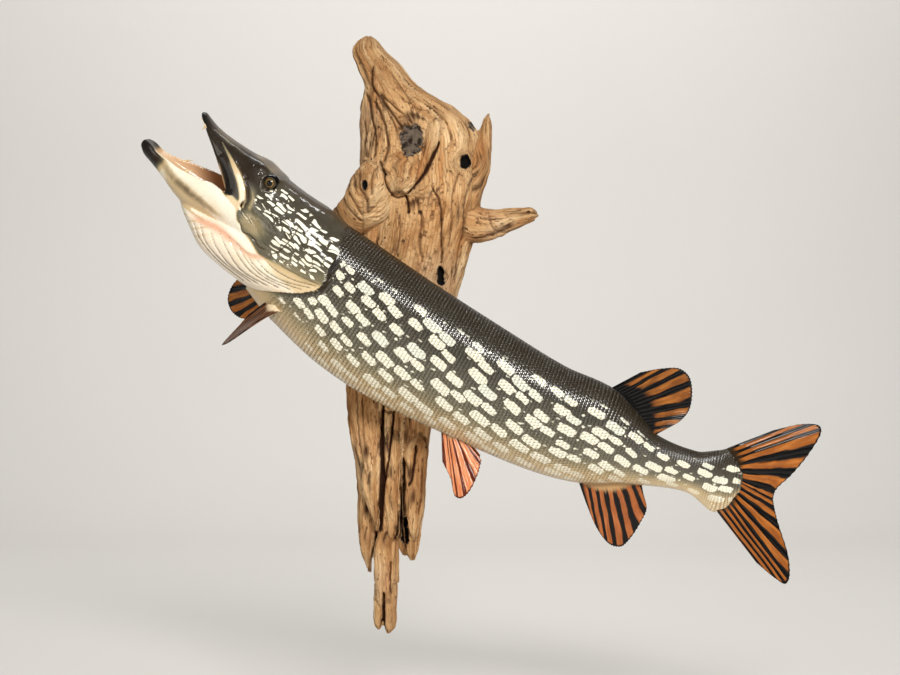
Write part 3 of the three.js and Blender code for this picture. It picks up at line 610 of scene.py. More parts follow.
# lines drawn on the side of the head, as (s, d)
headLines = {
    "groove": [(79.2, -11.7), (89.9, -14.3), (101.8, -18.2), (112.2, -23.5), (120.1, -28.8), (126.4, -35.5), (130, -44)],
    "cream": [(50, -7), (63, -10.3), (73, -13.2), (83.5, -17), (93, -20.4), (102.5, -24.6), (111, -29.9), (118, -35.8),
              (122, -41), (124.5, -50)],
    "strip": [(58, -18.5), (66, -22), (74, -25), (82, -28.2), (89, -32), (95, -36.5), (99, -41), (100.5, -43.5)],
    # the ridge behind the groove, which is also painted paler as a highlight
    "light": [(108, -15.5), (115.8, -19.5), (125.4, -24.3), (133.2, -32.4), (136, -42.3)],
    "cheekEdge": [(134.6, -66.5), (142.8, -68.7), (149.7, -73.9), (160.1, -70.8), (170, -71.6), (180.4, -73),
                  (189, -69.9)],
    "preopercle": [(194.8, -74.3), (202.6, -63.1), (206.1, -46.3), (205.9, -29.2), (202.5, -14.9)],
    "smudge": [(-8.5, -82.9), (0.1, -82.6), (18.4, -85.9), (35, -87.6), (49.4, -86.7), (62.1, -85.7), (77.2, -84.2),
               (92.2, -82.9), (106.3, -80.7), (119.8, -77.4)],
    "crease": [(66.1, -112), (85.3, -107), (99.3, -102.8), (114, -96.8), (127.7, -93.3), (143.7, -92), (159.3, -91.4),
               (174.9, -90.9), (189.8, -82.4), (201.1, -71.1)],
    "brow": [(106.5, 5.6), (120.1, 7.3), (133.7, 8.4), (145.8, 8.4)],
    "snoutRidge": [(28.5, -1.5), (41, -2.7), (54.2, -3.1), (68, -2.8)],
    "snoutRidge2": [(40.1, -2), (52.5, -1.6), (65, -0.5), (77.3, 0.2), (92.6, 2)],
    "crown": [(88, 5), (100, 8.6), (112, 9.8), (126, 9), (144, 9)],
}
# gill rays, from the outer to the inner one, as four (s, d) each
gillRays = {
    "count": 10,
    "drawn": [
        [(84, -110), (108, -122), (146, -129), (191.7, -126)],
        [(99.2, -104), (123, -118.3), (158, -123.3), (203, -117)],
        [(117.5, -96.7), (146.3, -109.8), (176.3, -117.5), (216, -109)],
        [(137.8, -91.5), (165.1, -101.7), (193.9, -106.5), (233, -97)],
        [(156.3, -90), (180.2, -97), (209.4, -97.8), (250, -85)],
        [(175.9, -88.4), (196.7, -94), (224.6, -89.8), (264, -71)],
        [(192, -81.3), (212.2, -82.7), (241, -76.3), (271, -60)],
        [(201.5, -71.4), (222.8, -69.8), (247.5, -62.9), (274, -54.5)],
    ],
}
# name of a line: width, height of the ridge, or less than nothing for a groove
carving = {
    "groove": (1.4, -1.7), "light": (2.2, 0.7), "cheekEdge": (1.4, -1.3), "preopercle": (2.2, -1.2),
    "crease": (2.2, -2.2), "brow": (4.5, 1.3), "snoutRidge": (1.5, 0.6), "snoutRidge2": (1.5, 0.6), "cream": (4, 0.6), "strip": (5.5, 1),
}
eyeForm = {"s": 134.8, "d": -1.8, "w": 24.3, "radius": 11.5, "opening": 9.7, "lid": 1.1, "farDrop": 3.5}
nostrils = {"places": [(103.7, 0.2), (117.7, -1.8)], "radius": 1.4, "depth": 1.6}


def nearLine(points, s, d):  # distance from a drawn line, and the share of it that is passed
    drawn = throughPoints(points)(np.linspace(0, 1, 6 * len(points)))
    best, share = np.full(len(s), 1e3), np.zeros(len(s))
    for k, (a, b) in enumerate(zip(drawn[:-1], drawn[1:])):
        span = b - a
        u = np.clip(((s - a[0]) * span[0] + (d - a[1]) * span[1]) / (span @ span), 0, 1)
        away = np.hypot(s - a[0] - u * span[0], d - a[1] - u * span[1])
        closer = away < best
        best[closer], share[closer] = away[closer], (k + u[closer]) / (len(drawn) - 1)
    return best, share


def rayLine(share):  # one gill ray, from the outer at 0 to the inner at 1
    return [throughPoints([line[k] for line in gillRays["drawn"]])(share) for k in range(4)]


def nearRimDrop(s, d, w):  # the jaw's near rim hangs a little lower than the far one
    rim = jawAt(s)[0]
    along = between(s, 2, 34) * between(s, 78, 58)
    return 4.5 * along * between(d, rim - 24, rim - 1) * between(d, rim + 6, rim + 2) * (w > 0)


def carveHead(mesh):
    points, outward = places(mesh), normals(mesh)
    s, d, w = inHead(points)
    points -= np.multiply.outer(nearRimDrop(s, d, w), rolledUp)
    s, d, w = inHead(points)
    side = np.sign(w)
    facing = between((outward @ rolledOut) * side, 0.05, 0.4)
    onHead = s < gillAt(d)[0] + 4
    lift = np.zeros(len(points))
    for name, (width, height) in carving.items():
        away, share = nearLine(headLines[name], s, d)
        ends = between(share, 0, 0.12) * between(share, 1, 0.9)
        lift += height * np.exp(-((away / width) ** 2)) * ends * (1 if name.startswith("snout") else facing)
    for share in np.linspace(0, 1, gillRays["count"]):
        away, passed = nearLine(rayLine(share), s, d)
        lift -= 1.1 * np.exp(-((away / 1.5) ** 2)) * between(passed, 0, 0.15) * facing * (d < -50)
    for place in nostrils["places"]:
        away = np.hypot(s - place[0], d - place[1])
        lift -= nostrils["depth"] * np.exp(-((away / nostrils["radius"]) ** 2)) * facing
        lift += 0.5 * np.exp(-(((away - 2.4) / 0.9) ** 2)) * facing
    cheek = facing * between(s, 120, 145) * between(d, -75, -60) * between(gillAt(d)[0] - s, 0, 12) * onHead
    for i in np.flatnonzero(cheek > 0.01):
        spot = Vector((s[i] / 13 + d[i] / 20, d[i] / 6 - s[i] / 40, side[i] * 9))
        lift[i] += cheek[i] * (0.6 * noise.noise(spot) + 0.34 * noise.noise(spot * 2.1))
    lift *= onHead
    points += outward * lift[:, None]
    # the eye's opening and the lid round it
    away = np.hypot(s - eyeForm["s"], d - eyeForm["d"] + eyeForm["farDrop"] * (side < 0))
    ball = eyeForm["w"] + np.sqrt(np.maximum(0, eyeForm["radius"] ** 2 - away ** 2)) - 3.2
    s, d, w = inHead(points)
    sunk = between(away, eyeForm["opening"] + 0.9, eyeForm["opening"] - 0.7) * (facing > 0.2)
    lid = eyeForm["lid"] * np.exp(-(((away - eyeForm["opening"] - 1.7) / 1.2) ** 2)) * facing
    move = sunk * (ball - np.abs(w)) * (ball < np.abs(w)) + lid
    points += np.multiply.outer(move * side, rolledOut)
    mesh.vertices.foreach_set("co", (points * mm).ravel())
    mesh.update()


def thinned(piece, most):  # fewer faces, first where the skin is plain
    faces = sum(len(face.vertices) - 2 for face in piece.data.polygons)
    fewer = piece.modifiers.new("fewer faces", "DECIMATE")
    fewer.ratio = most / faces
    mesh = bpy.data.meshes.new_from_object(piece.evaluated_get(bpy.context.evaluated_depsgraph_get()))
    piece.modifiers.clear()
    piece.data = mesh
    mesh.shade_smooth()
    print(piece.name + ":", len(mesh.polygons), "faces")


skin = skinShape()
carveHead(skin.data)
thinned(skin, 190000)
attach(skin, "root")
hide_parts("head", "lower_jaw", "throat", "trunk_front", "trunk_middle", "trunk_rear", "tail_stalk",
            "gill_cover_left", "gill_cover_right", "maxilla_left", "maxilla_right")
print("skin: done")


# The coat of scales

coatForm = {
    "step": 4.9,  # along the body
    "row": 4.4,  # between rows
    "sideLine": 0.46,  # share of the girth where the side line runs
    "small": 0.74,  # how much smaller the scales of the tail are
    "over": 1.36,  # length of a scale in steps
    "wide": 0.61,  # half width of a scale in rows
    "profile": (-0.62, -0.38, -0.28),  # depth of its root, middle and free edge below the solids' surface
    "steps": (2, 4),
    "whole": 0.3,  # how far a scale takes one tone as a whole
}


def scaleSize(at):
    return 1 - (1 - coatForm["small"]) * between(at, 500, 640)


def scaleShape():  # one scale: a bent tongue with a flat underside, as (along, across)
    bm = bmesh.new()
    bmesh.ops.create_grid(bm, x_segments=coatForm["steps"][0], y_segments=coatForm["steps"][1], size=0.5)
    bmesh.ops.contextual_create(bm, geom=[edge for edge in bm.edges if edge.is_boundary])
    bmesh.ops.recalc_face_normals(bm, faces=bm.faces)
    flat = np.array([vert.co[:2] for vert in bm.verts])
    if max(bm.faces, key=lambda face: len(face.verts)).normal.z > 0:
        bmesh.ops.reverse_faces(bm, faces=bm.faces)
    faces = [[vert.index for vert in face.verts] for face in bm.faces]
    bm.free()
    return flat[:, 0] + 0.5, flat[:, 1] * 2, faces


def scaleRoots():  # along, share of the girth, and ring number of every scale of one side
    rings, at = [], 62.0
    while at < trunkForm["end"] - 7:
        rings.append(at)
        at += coatForm["step"] * scaleSize(at)
    found = []
    for i, at in enumerate(rings):
        row = coatForm["row"] * scaleSize(at) / girthAt(at)
        first = math.floor(-coatForm["sideLine"] / row) + 1
        shares = coatForm["sideLine"] + (np.arange(first, 99) + 0.5 * (i % 2)) * row
        shares = shares[(shares > 0.2 * row) & (shares < 1 - 0.1 * row)]
        found.append(np.stack([np.full_like(shares, at), shares], -1))
    return np.concatenate(found)


def coatOf(name, side):
    along, across, faces = scaleShape()
    roots = scaleRoots()
    point = trunkPoint(roots[:, 0], side * fromTable(turnAtShare, roots[:, 0], roots[:, 1]))
    s, d, w = inHead(point)
    behind = s - gillAt(d)[0]
    nape = between(roots[:, 1], 0.36, 0.26)
    kept = behind > 1.5 - 30 * nape
    roots, behind, nape = roots[kept], behind[kept], nape[kept]
    sunk = 0.35 * between(behind, 6, -24) * nape  # the coat starts gently on the nape
    size = scaleSize(roots[:, 0]) * rng.uniform(0.95, 1.05, len(roots))
    slant = rng.normal(0, 0.05, len(roots))
    tip = 1 - 0.3 * across ** 2 * along
    a = (along * tip)[None] * coatForm["over"]
    b = (across * (0.72 + 0.28 * np.sin(math.pi * np.clip(along * 1.1, 0, 1))) * coatForm["wide"])[None] + slant[:, None] * along
    at = roots[:, :1] + a * coatForm["step"] * size[:, None]
    share = roots[:, 1:] + b * coatForm["row"] * size[:, None] / girthAt(roots[:, :1])
    lift = (np.interp(along, (0, 0.5, 1), coatForm["profile"]) - 0.05 * across ** 2 * along)[None]
    lift = lift + rng.uniform(-0.018, 0.018, (len(roots), 1)) * along - sunk[:, None]
    turn = fromTable(turnAtShare, at, np.abs(share)) * np.where(share < 0, -1, 1)
    turn = np.where(share > 1, 2 * math.pi - fromTable(turnAtShare, at, 2 - share), turn)
    points = trunkPoint(at.ravel(), side * turn.ravel(), np.broadcast_to(lift, at.shape).ravel())
    count, size = len(roots), len(along)
    loops = np.concatenate([np.array(face) for face in faces])
    sizes = np.array([len(face) for face in faces])
    if side < 0:  # the far side is mirrored, so its faces turn round
        loops = np.concatenate([np.array(face[::-1]) for face in faces])
    allLoops = (loops[None] + np.arange(count)[:, None] * size).ravel()
    starts = np.concatenate([[0], np.cumsum(np.tile(sizes, count))[:-1]])
    mesh = bpy.data.meshes.new(name)
    mesh.vertices.add(count * size)
    mesh.loops.add(len(allLoops))
    mesh.polygons.add(len(starts))
    mesh.vertices.foreach_set("co", (points * mm).ravel())
    mesh.loops.foreach_set("vertex_index", allLoops)
    mesh.polygons.foreach_set("loop_start", starts)
    mesh.polygons.foreach_set("use_smooth", np.tile(sizes == 4, count))  # the underside stays flat
    mesh.update(calc_edges=True)
    patch = 0.0014  # half the size of a scale's patch on the map
    middle = np.stack([0.02 + 0.96 * roots[:, 0] / trunkForm["end"],
                       0.5 + side * 0.48 * (roots[:, 1] * girthAt(roots[:, 0])) / halfGirth.max()], -1)
    flat = middle[:, None, :] + np.stack([(along - 0.5) * 2, across], -1)[None] * patch
    uv = mesh.uv_layers.new(name="OFBake")
    uv.data.foreach_set("uv", flat.reshape(-1, 2)[allLoops].ravel().astype(np.float32))
    piece = bpy.data.objects.new(name, mesh)
    bpy.context.scene.collection.objects.link(piece)
    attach(piece, "root")
    print(name + ":", count, "scales")
    at = coatForm["whole"] * at.mean(1, keepdims=True) + (1 - coatForm["whole"]) * at
    share = coatForm["whole"] * share.mean(1, keepdims=True) + (1 - coatForm["whole"]) * share
    return piece, at.ravel(), np.clip(share, 0, 1).ravel(), side


coats = [coatOf("scales_left", 1), coatOf("scales_right", -1)]


# The markings, which skin and scales share

paintForm = {
    # along the trunk: length and height of a spot's cell
    "trunkCells": [(100, 24, 17), (200, 30, 19.5), (330, 32, 19.5), (520, 30, 17.5), (620, 27, 15), (729, 24, 13.5)],
    "headCells": (19, 7.2),
    "shear": 0.5,
    "rowFall": 0.2,  # how steeply the rows of spots run down towards the belly in front
    # tones from 0, near black, to 1, cream: share of the girth, tone
    "trunkTones": [(0, 0.19), (0.12, 0.2), (0.24, 0.23), (0.38, 0.32), (0.6, 0.43), (0.74, 0.61), (0.84, 0.77),
                   (0.92, 0.84), (1, 0.88)],
    # where the dark upper side of the head meets the pale jaw and throat, as (s, d)
    "paleLine": [(-40, -60), (0, -42), (60, -46), (112, -55), (124, -57), (134.6, -66.5), (142.8, -68.7),
                 (149.7, -73.9), (160, -75), (172, -77), (184, -80), (192, -79.5), (231.7, -70.1), (256.4, -63.6),
                 (275.6, -55.6)],
    "tones": [
        (0.0, tone(14, 11, 8)), (0.15, tone(44, 34, 21)), (0.3, tone(68, 63, 51)), (0.45, tone(101, 95, 75)),
        (0.6, tone(150, 137, 102)), (0.75, tone(204, 184, 138)), (0.9, tone(232, 217, 180)), (1.0, tone(246, 240, 222)),
    ],
    "spot": (tone(253, 247, 222), tone(240, 240, 220)),
    "pink": tone(226, 160, 132),
    "warm": tone(204, 170, 126),
    "ink": tone(24, 18, 13),
}

trunkTones = smoothly(paintForm["trunkTones"])
paleAt = smoothly(paintForm["paleLine"])
cellSizes = smoothly(paintForm["trunkCells"])
steps = np.arange(0.5, trunkForm["end"] + 1)
cellCounts = np.concatenate([[0], np.cumsum(1 / cellSizes(steps)[0])])
rowFalls = np.concatenate([[0], np.cumsum(paintForm["rowFall"] * between(steps, 560, 380))])


def trunkPaint(at, share, side):  # tone and spot cell on the trunk
    along = np.interp(at, np.arange(len(cellCounts)), cellCounts)
    fall = np.interp(at, np.arange(len(rowFalls)), rowFalls)
    across = ((share - coatForm["sideLine"]) * girthAt(at) - fall) / cellSizes(at)[1]
    strength = between(share, 0.2, 0.3) * between(share, 0.95, 0.78) * between(at, 727, 716)
    strength *= 1 - between(at, 160, 110) * between(share, 0.62, 0.74)
    return trunkTones(share)[0], np.stack([along + paintForm["shear"] * across + 37 * (side < 0), across, strength], -1)


def headPaint(s, d, w, outward):  # tone and spot cell on the head
    length, height = paintForm["headCells"]
    side = np.sign(w)
    facing = (outward @ rolledOut) * side
    upward = outward @ rolledUp
    pale = paleAt(s)[0]
    soft = 1.5 + 6 * between(s, 190, 215)
    upper = between(d - pale, -soft, soft)
    flank = between(facing, 0.05, 0.5)
    # the upper side: brown on the crown, near black on the snout's side, paler down the cheek
    dark = 0.29 - 0.17 * flank * between(s, 150, 100) - 0.12 * between(s, 30, 12)
    dark += 0.1 * flank * between(s, 135, 160) * between(d - pale, 45, 15)
    dark += 0.1 * flank * between(s, 195, 225) * between(d - pale, 26, 4)
    olive = between(np.hypot((s - 153) / 27, (d + 58) / 18), 1.25, 0.35) * flank
    dark += (0.57 - dark) * olive
    # a paler band along the ridge behind the groove: partly the skin's paler tone, partly a painted highlight on the
    # ridge
    fromGlintRidge, share = nearLine(headLines["light"], s, d)
    dark += 0.34 * np.exp(-((fromGlintRidge / 4.5) ** 2)) * flank * between(share, 0.1, 0.6)
    for name in ("snoutRidge", "snoutRidge2", "crown"):
        away, share = nearLine(headLines[name], s, d)
        dark += 0.2 * np.exp(-((away / 1.2) ** 2)) * between(share, 0, 0.2) * between(share, 1, 0.7)
    cream, share = nearLine(headLines["cream"], s, d)
    ratio = cream / np.interp(share, np.arange(10) / 9, [0.7, 1.4, 2.2, 3.4, 4.5, 5, 5.2, 4.8, 4.6, 4.8])
    creamTone = np.interp(share, [0, 0.2, 0.35, 0.5, 1], [0.5, 0.62, 0.8, 0.94, 0.95])
    dark += (creamTone - dark) * between(ratio, 1.3, 0.6) * flank
    lip = between(s, 58, 72) * between(s, 100, 92) * between(d, -24 - 0.62 * (s - 62), -28 - 0.62 * (s - 62))
    dark += (0.8 - dark) * lip * flank
    corner = between(s, 98, 106) * between(s, 130, 124) * between(d, -44, -49)
    dark += (0.88 - dark) * corner * flank
    # the jaw and throat
    light = 0.97 - 0.12 * between(s, 190, 225) * between(d, -92, -75)
    smudge, share = nearLine(headLines["smudge"], s, d)
    creased = np.interp(s, [point[0] for point in headLines["crease"]], [point[1] for point in headLines["crease"]])
    below = between(d, -86, -92) * between(s, 10, 40) * between(s, 132, 108) * between(d - creased, 1, 5)
    light -= 0.17 * below * (upward < 0.2)
    wide = np.interp(share, [0, 0.4, 1], [6.5, 6, 4.5])
    smudged = np.interp(share, [0, 0.12, 0.3, 0.5, 0.72, 1], [0.9, 0.6, 0.75, 1, 0.8, 0.15]) * np.exp(-((smudge / wide) ** 2))
    smudged *= facing > 0.1
    light -= 0.16 * smudged
    arcs = between(s, 140, 100) * between(d - creased, 0, -6)
    light -= 0.07 * arcs * np.abs(np.sin((s - 0.8 * d) / 4.2)) ** 8
    shade = dark * upper + light * (1 - upper)
    # inside of the mouth
    rim, keel, half, wall, channel = jawAt(s)
    trough = (d > rim - channel - 1.5) * (np.abs(w) < half - 0.55 * wall) * between(s, 150, 140) * (d < pale + 2)
    trough *= (facing < -0.1) | (upward > 0.45)
    palate = (upward < -0.3) * between(s, 122, 110) * (d > pale) * (np.abs(w) < 0.82 * headAt(s)[2])
    inside = np.maximum(palate, trough) > 0.5
    shade = np.where(inside, np.interp(s, [-15, 5, 30, 70, 110], [0.94, 0.9, 0.87, 0.84, 0.76]), shade)
    tip = between(s - 13 * between(facing, 0, 0.5) + 7 * (upward > 0.3), -1, -20) * (1 - upper)
    shade = shade * (1 - tip) + 0.04 * tip
    lines = 1.3 - 0.62 * smudged * (1 - upper) * ~inside
    # dark lines along the carved grooves of the lip, cheek edge, gill cover and gill rays: partly their own colour,
    # partly painted shade in the grooves
    for name, width in (("groove", 1.6), ("cheekEdge", 1.2), ("preopercle", 1)):
        away, share = nearLine(headLines[name], s, d)
        lines = np.minimum(lines, away / (width * (0.3 + 0.7 * between(share, 0, 0.25) * between(share, 1, 0.85))))
    for ray in np.linspace(0, 1, gillRays["count"]):
        away, share = nearLine(rayLine(ray), s, d)
        lines = np.minimum(lines, 0.45 + away / (1.4 * (0.15 + 0.85 * between(share, 0.0, 0.5))))
    lines = np.where(facing > 0.05, lines, 9)
    crease = nearLine(headLines["crease"], s, d)[0]
    pink = 0.65 * np.exp(-((crease / 4.5) ** 2)) * between(s, 70, 100) * between(s, 215, 185)
    pink += 0.16 * between(d, pale - 8, pale - 30) * between(s, 50, 110)
    pink = pink * (1 - upper) + upper * (0.4 * (1 - flank) + 0.5 * lip)
    pink = np.where(inside, 0.36 + 0.24 * between(s, 10, 70), pink)
    # pale marks on the cheek and gill cover: partly the pike's own pale markings, partly painted glints of the varnish
    low = 2 + 10 * between(s, 205, 190)
    marksAndGlints = between(s, 126, 146) * between(d - pale, low, low + 13) * between(d, 8, -2) * (facing > 0.1)
    marksAndGlints *= (1 - 0.85 * olive) * np.maximum(between(s, 184, 196), 0.6 * between(d, -40, -30))
    marksAndGlints *= 0.85
    across = d / height
    bent = np.zeros((len(s), 2))
    for i in np.flatnonzero(marksAndGlints > 0.01):
        bent[i] = noise.noise_vector(Vector((s[i] / 16, d[i] / 9, side[i] * 5)))[:2]
    cell = np.stack([s / length + 0.25 * across + 19 * (side < 0) + 0.5 * bent[:, 0],
                     across - 0.012 * s + 0.55 * bent[:, 1], marksAndGlints], -1)
    return shade, cell, np.stack([lines, np.where(facing > 0, strip(s, d), 9), pink], -1)


def strip(s, d):  # the glossy dark strip on the upper lip: less than 1 on it
    away, share = nearLine(headLines["strip"], s, d)
    return away / np.interp(share, np.arange(8) / 7, [0.8, 1.7, 2.9, 4.2, 5.4, 6.6, 7.4, 7.6])


def gillShadow(behind, share):  # painted shadow: a dark band on the trunk just behind the gill cover's edge
    return 0.24 * between(behind, 13, 1) * between(share, 0.75, 0.6) * between(share, 0.22, 0.32)


def glossOf(share):  # the back is duller than the sides
    return 0.3 + 0.7 * between(share, 0.1, 0.24)


def paintSkin(mesh):
    points, outward = places(mesh), normals(mesh)
    s, d, w = inHead(points)
    at, share, side, reach = onTrunk(points)
    behind = s - gillAt(d)[0]
    onHead = between(behind, 0.9, -0.9)
    shade, cell, ink = headPaint(s, d, w, outward)
    trunkShade, trunkCell = trunkPaint(at, share, side)
    trunkCell[:, 2] *= between(behind, 9, 14)
    # the trunk darkens just behind the gill edge, as a painted shadow of the gill cover
    trunkShade = trunkShade - gillShadow(behind, share)
    keep(mesh, "tone", "FLOAT", np.where(onHead > 0.5, shade, trunkShade))
    keep(mesh, "cell", "FLOAT_VECTOR", np.where(onHead[:, None] > 0.5, cell, trunkCell))
    keep(mesh, "ink", "FLOAT_VECTOR", np.where(onHead[:, None] > 0.5, ink, [9, 9, 0]))
    crown = 1 - between(np.abs(w), 30, 12) * (outward @ rolledUp > 0.3)
    onStrip = between(strip(s, d), 1.2, 0.9) * (w > 0)
    gloss = (0.35 + 0.65 * crown) * (1 - 0.5 * onStrip)
    keep(mesh, "gloss", "FLOAT", np.where(onHead > 0.5, gloss, glossOf(share)))


def markingsGroup():
    tree, given, out = newGroup("pikeMarkings", {"Tone": "Float", "Cell": "Vector", "Place": "Vector"},
                                {"Color": "Color", "Spots": "Float"})
    cloud = noiseOf(tree, given["Place"], 26, 4)
    speck = noiseOf(tree, given["Place"], 420, 2)
    shade = calc(tree, "ADD", given["Tone"], calc(tree, "MULTIPLY_ADD", cloud, 0.14, -0.07))
    shade = calc(tree, "ADD", shade, calc(tree, "MULTIPLY_ADD", speck, 0.12, -0.06))
    ground = rampOf(tree, shade, paintForm["tones"])
    warm = calc(tree, "MULTIPLY", stepOf(tree, given["Tone"], 0.5, 0.74), stepOf(tree, given["Tone"], 0.95, 0.88))
    ground = blendOf(tree, calc(tree, "MULTIPLY", warm, 0.5), ground, paintForm["warm"])
    u, v, strength = axesOf(tree, given["Cell"])
    ragged = place(tree, "ShaderNodeTexNoise", {"Vector": given["Place"], "Scale": 170, "Detail": 1}).outputs["Color"]
    ragged = place(tree, "ShaderNodeVectorMath", {0: ragged, 1: (-0.5, -0.5, -0.5)}, operation="ADD").outputs[0]
    ragged = place(tree, "ShaderNodeVectorMath", {0: ragged, "Scale": 0.11}, operation="SCALE").outputs[0]
    where = place(tree, "ShaderNodeVectorMath", {0: vectorOf(tree, u, v), 1: ragged}, operation="ADD").outputs[0]
    cells = place(tree, "ShaderNodeTexVoronoi", {"Vector": where, "Scale": 1, "Randomness": 0.45},
                  voronoi_dimensions="2D").outputs
    offset = axesOf(tree, place(tree, "ShaderNodeVectorMath", {0: where, 1: cells["Position"]},
                                operation="SUBTRACT").outputs[0])
    chance = axesOf(tree, cells["Color"])
    size = calc(tree, "MULTIPLY", calc(tree, "MULTIPLY_ADD", chance[0], 0.34, 0.74),
                calc(tree, "MULTIPLY_ADD", strength, 0.45, 0.55))
    straight = calc(tree, "MULTIPLY_ADD", offset[1], -0.3, offset[0])
    steeper = calc(tree, "MULTIPLY_ADD", offset[0], -0.1, offset[1])
    reach = 0
    for measure, half in ((straight, 0.42), (steeper, 0.31)):
        share = calc(tree, "DIVIDE", calc(tree, "ABSOLUTE", measure), calc(tree, "MULTIPLY", size, half))
        reach = calc(tree, "ADD", reach, calc(tree, "POWER", share, 4.2))
    spot = stepOf(tree, reach, 1.2, 0.85)
    dots = place(tree, "ShaderNodeTexVoronoi", {"Vector": where, "Scale": 2.1, "Randomness": 0.9},
                 voronoi_dimensions="2D").outputs
    dot = calc(tree, "MULTIPLY", stepOf(tree, dots["Distance"], 0.19, 0.14), stepOf(tree, axesOf(tree, dots["Color"])[0], 0.6, 0.62))
    dot = calc(tree, "MULTIPLY", dot, stepOf(tree, reach, 2, 3))
    spot = calc(tree, "MULTIPLY", calc(tree, "MAXIMUM", spot, calc(tree, "MULTIPLY", dot, 0.85)),
                stepOf(tree, strength, 0.1, 0.3))
    cool = calc(tree, "MULTIPLY", stepOf(tree, chance[1], 0.55, 1), stepOf(tree, given["Tone"], 0.42, 0.36))
    colour = blendOf(tree, cool, *paintForm["spot"])
    faint = calc(tree, "MULTIPLY", stepOf(tree, given["Tone"], 0.5, 0.78), 0.5)
    colour = blendOf(tree, faint, colour, ground)
    tree.links.new(blendOf(tree, spot, ground, colour), out["Color"])
    tree.links.new(spot, out["Spots"])
    return tree


markings = markingsGroup()


def skinMaterial(name, onCoat):
    material, tree, shader = newMaterial(name)
    point = ownPlace(tree)
    marked = useGroup(tree, markings, {"Tone": keptOf(tree, "tone")["Fac"], "Cell": keptOf(tree, "cell")["Vector"],
                                       "Place": point})
    colour = marked["Color"]
    if not onCoat:
        line, strip, pink = axesOf(tree, keptOf(tree, "ink")["Vector"])
        colour = blendOf(tree, pink, colour, paintForm["pink"], "MULTIPLY")
        wobble = calc(tree, "MULTIPLY_ADD", noiseOf(tree, point, 150), 0.5, -0.25)
        edge = stepOf(tree, calc(tree, "ADD", strip, wobble), 1.12, 0.9)
        colour = blendOf(tree, edge, colour, paintForm["ink"])
        # the smudge, and the dark lines along the grooves, which are partly painted shade
        drawn = stepOf(tree, calc(tree, "ADD", line, wobble), 1.3, 0.5)
        colour = blendOf(tree, calc(tree, "MULTIPLY", drawn, 0.85), colour, tone(58, 42, 26))
        fine = calc(tree, "ADD", calc(tree, "MULTIPLY", noiseOf(tree, point, 320, 3), 0.3), marked["Spots"])
        tree.links.new(bumpOf(tree, fine, 0.0009, 0.5), shader.inputs["Normal"])
    tree.links.new(colour, shader.inputs["Base Color"])
    tree.links.new(keptOf(tree, "gloss")["Fac"], shader.inputs["Coat Weight"])
    shader.inputs["Roughness"].default_value = 0.45
    shader.inputs["Specular IOR Level"].default_value = 0.2
    shader.inputs["Coat Roughness"].default_value = 0.08
    shader.inputs["Coat IOR"].default_value = 1.75 if onCoat else 1.42
    return material


paintSkin(skin.data)
dress(skin, skinMaterial("fish skin", False))
coatMaterial = skinMaterial("fish scales", True)
for piece, at, share, side in coats:
    shade, cell = trunkPaint(at, share, np.full(len(at), side))
    s, d, w = inHead(places(piece.data))
    behind = s - gillAt(d)[0]
    cell[:, 2] *= between(behind, 9, 14)
    # the scales behind the gill edge take the same painted shadow of the gill cover
    keep(piece.data, "tone", "FLOAT", shade - gillShadow(behind, share))
    keep(piece.data, "cell", "FLOAT_VECTOR", cell)
    keep(piece.data, "gloss", "FLOAT", glossOf(share))
    dress(piece, coatMaterial)
print("markings: done")


# Fins: the same outlines as the solids

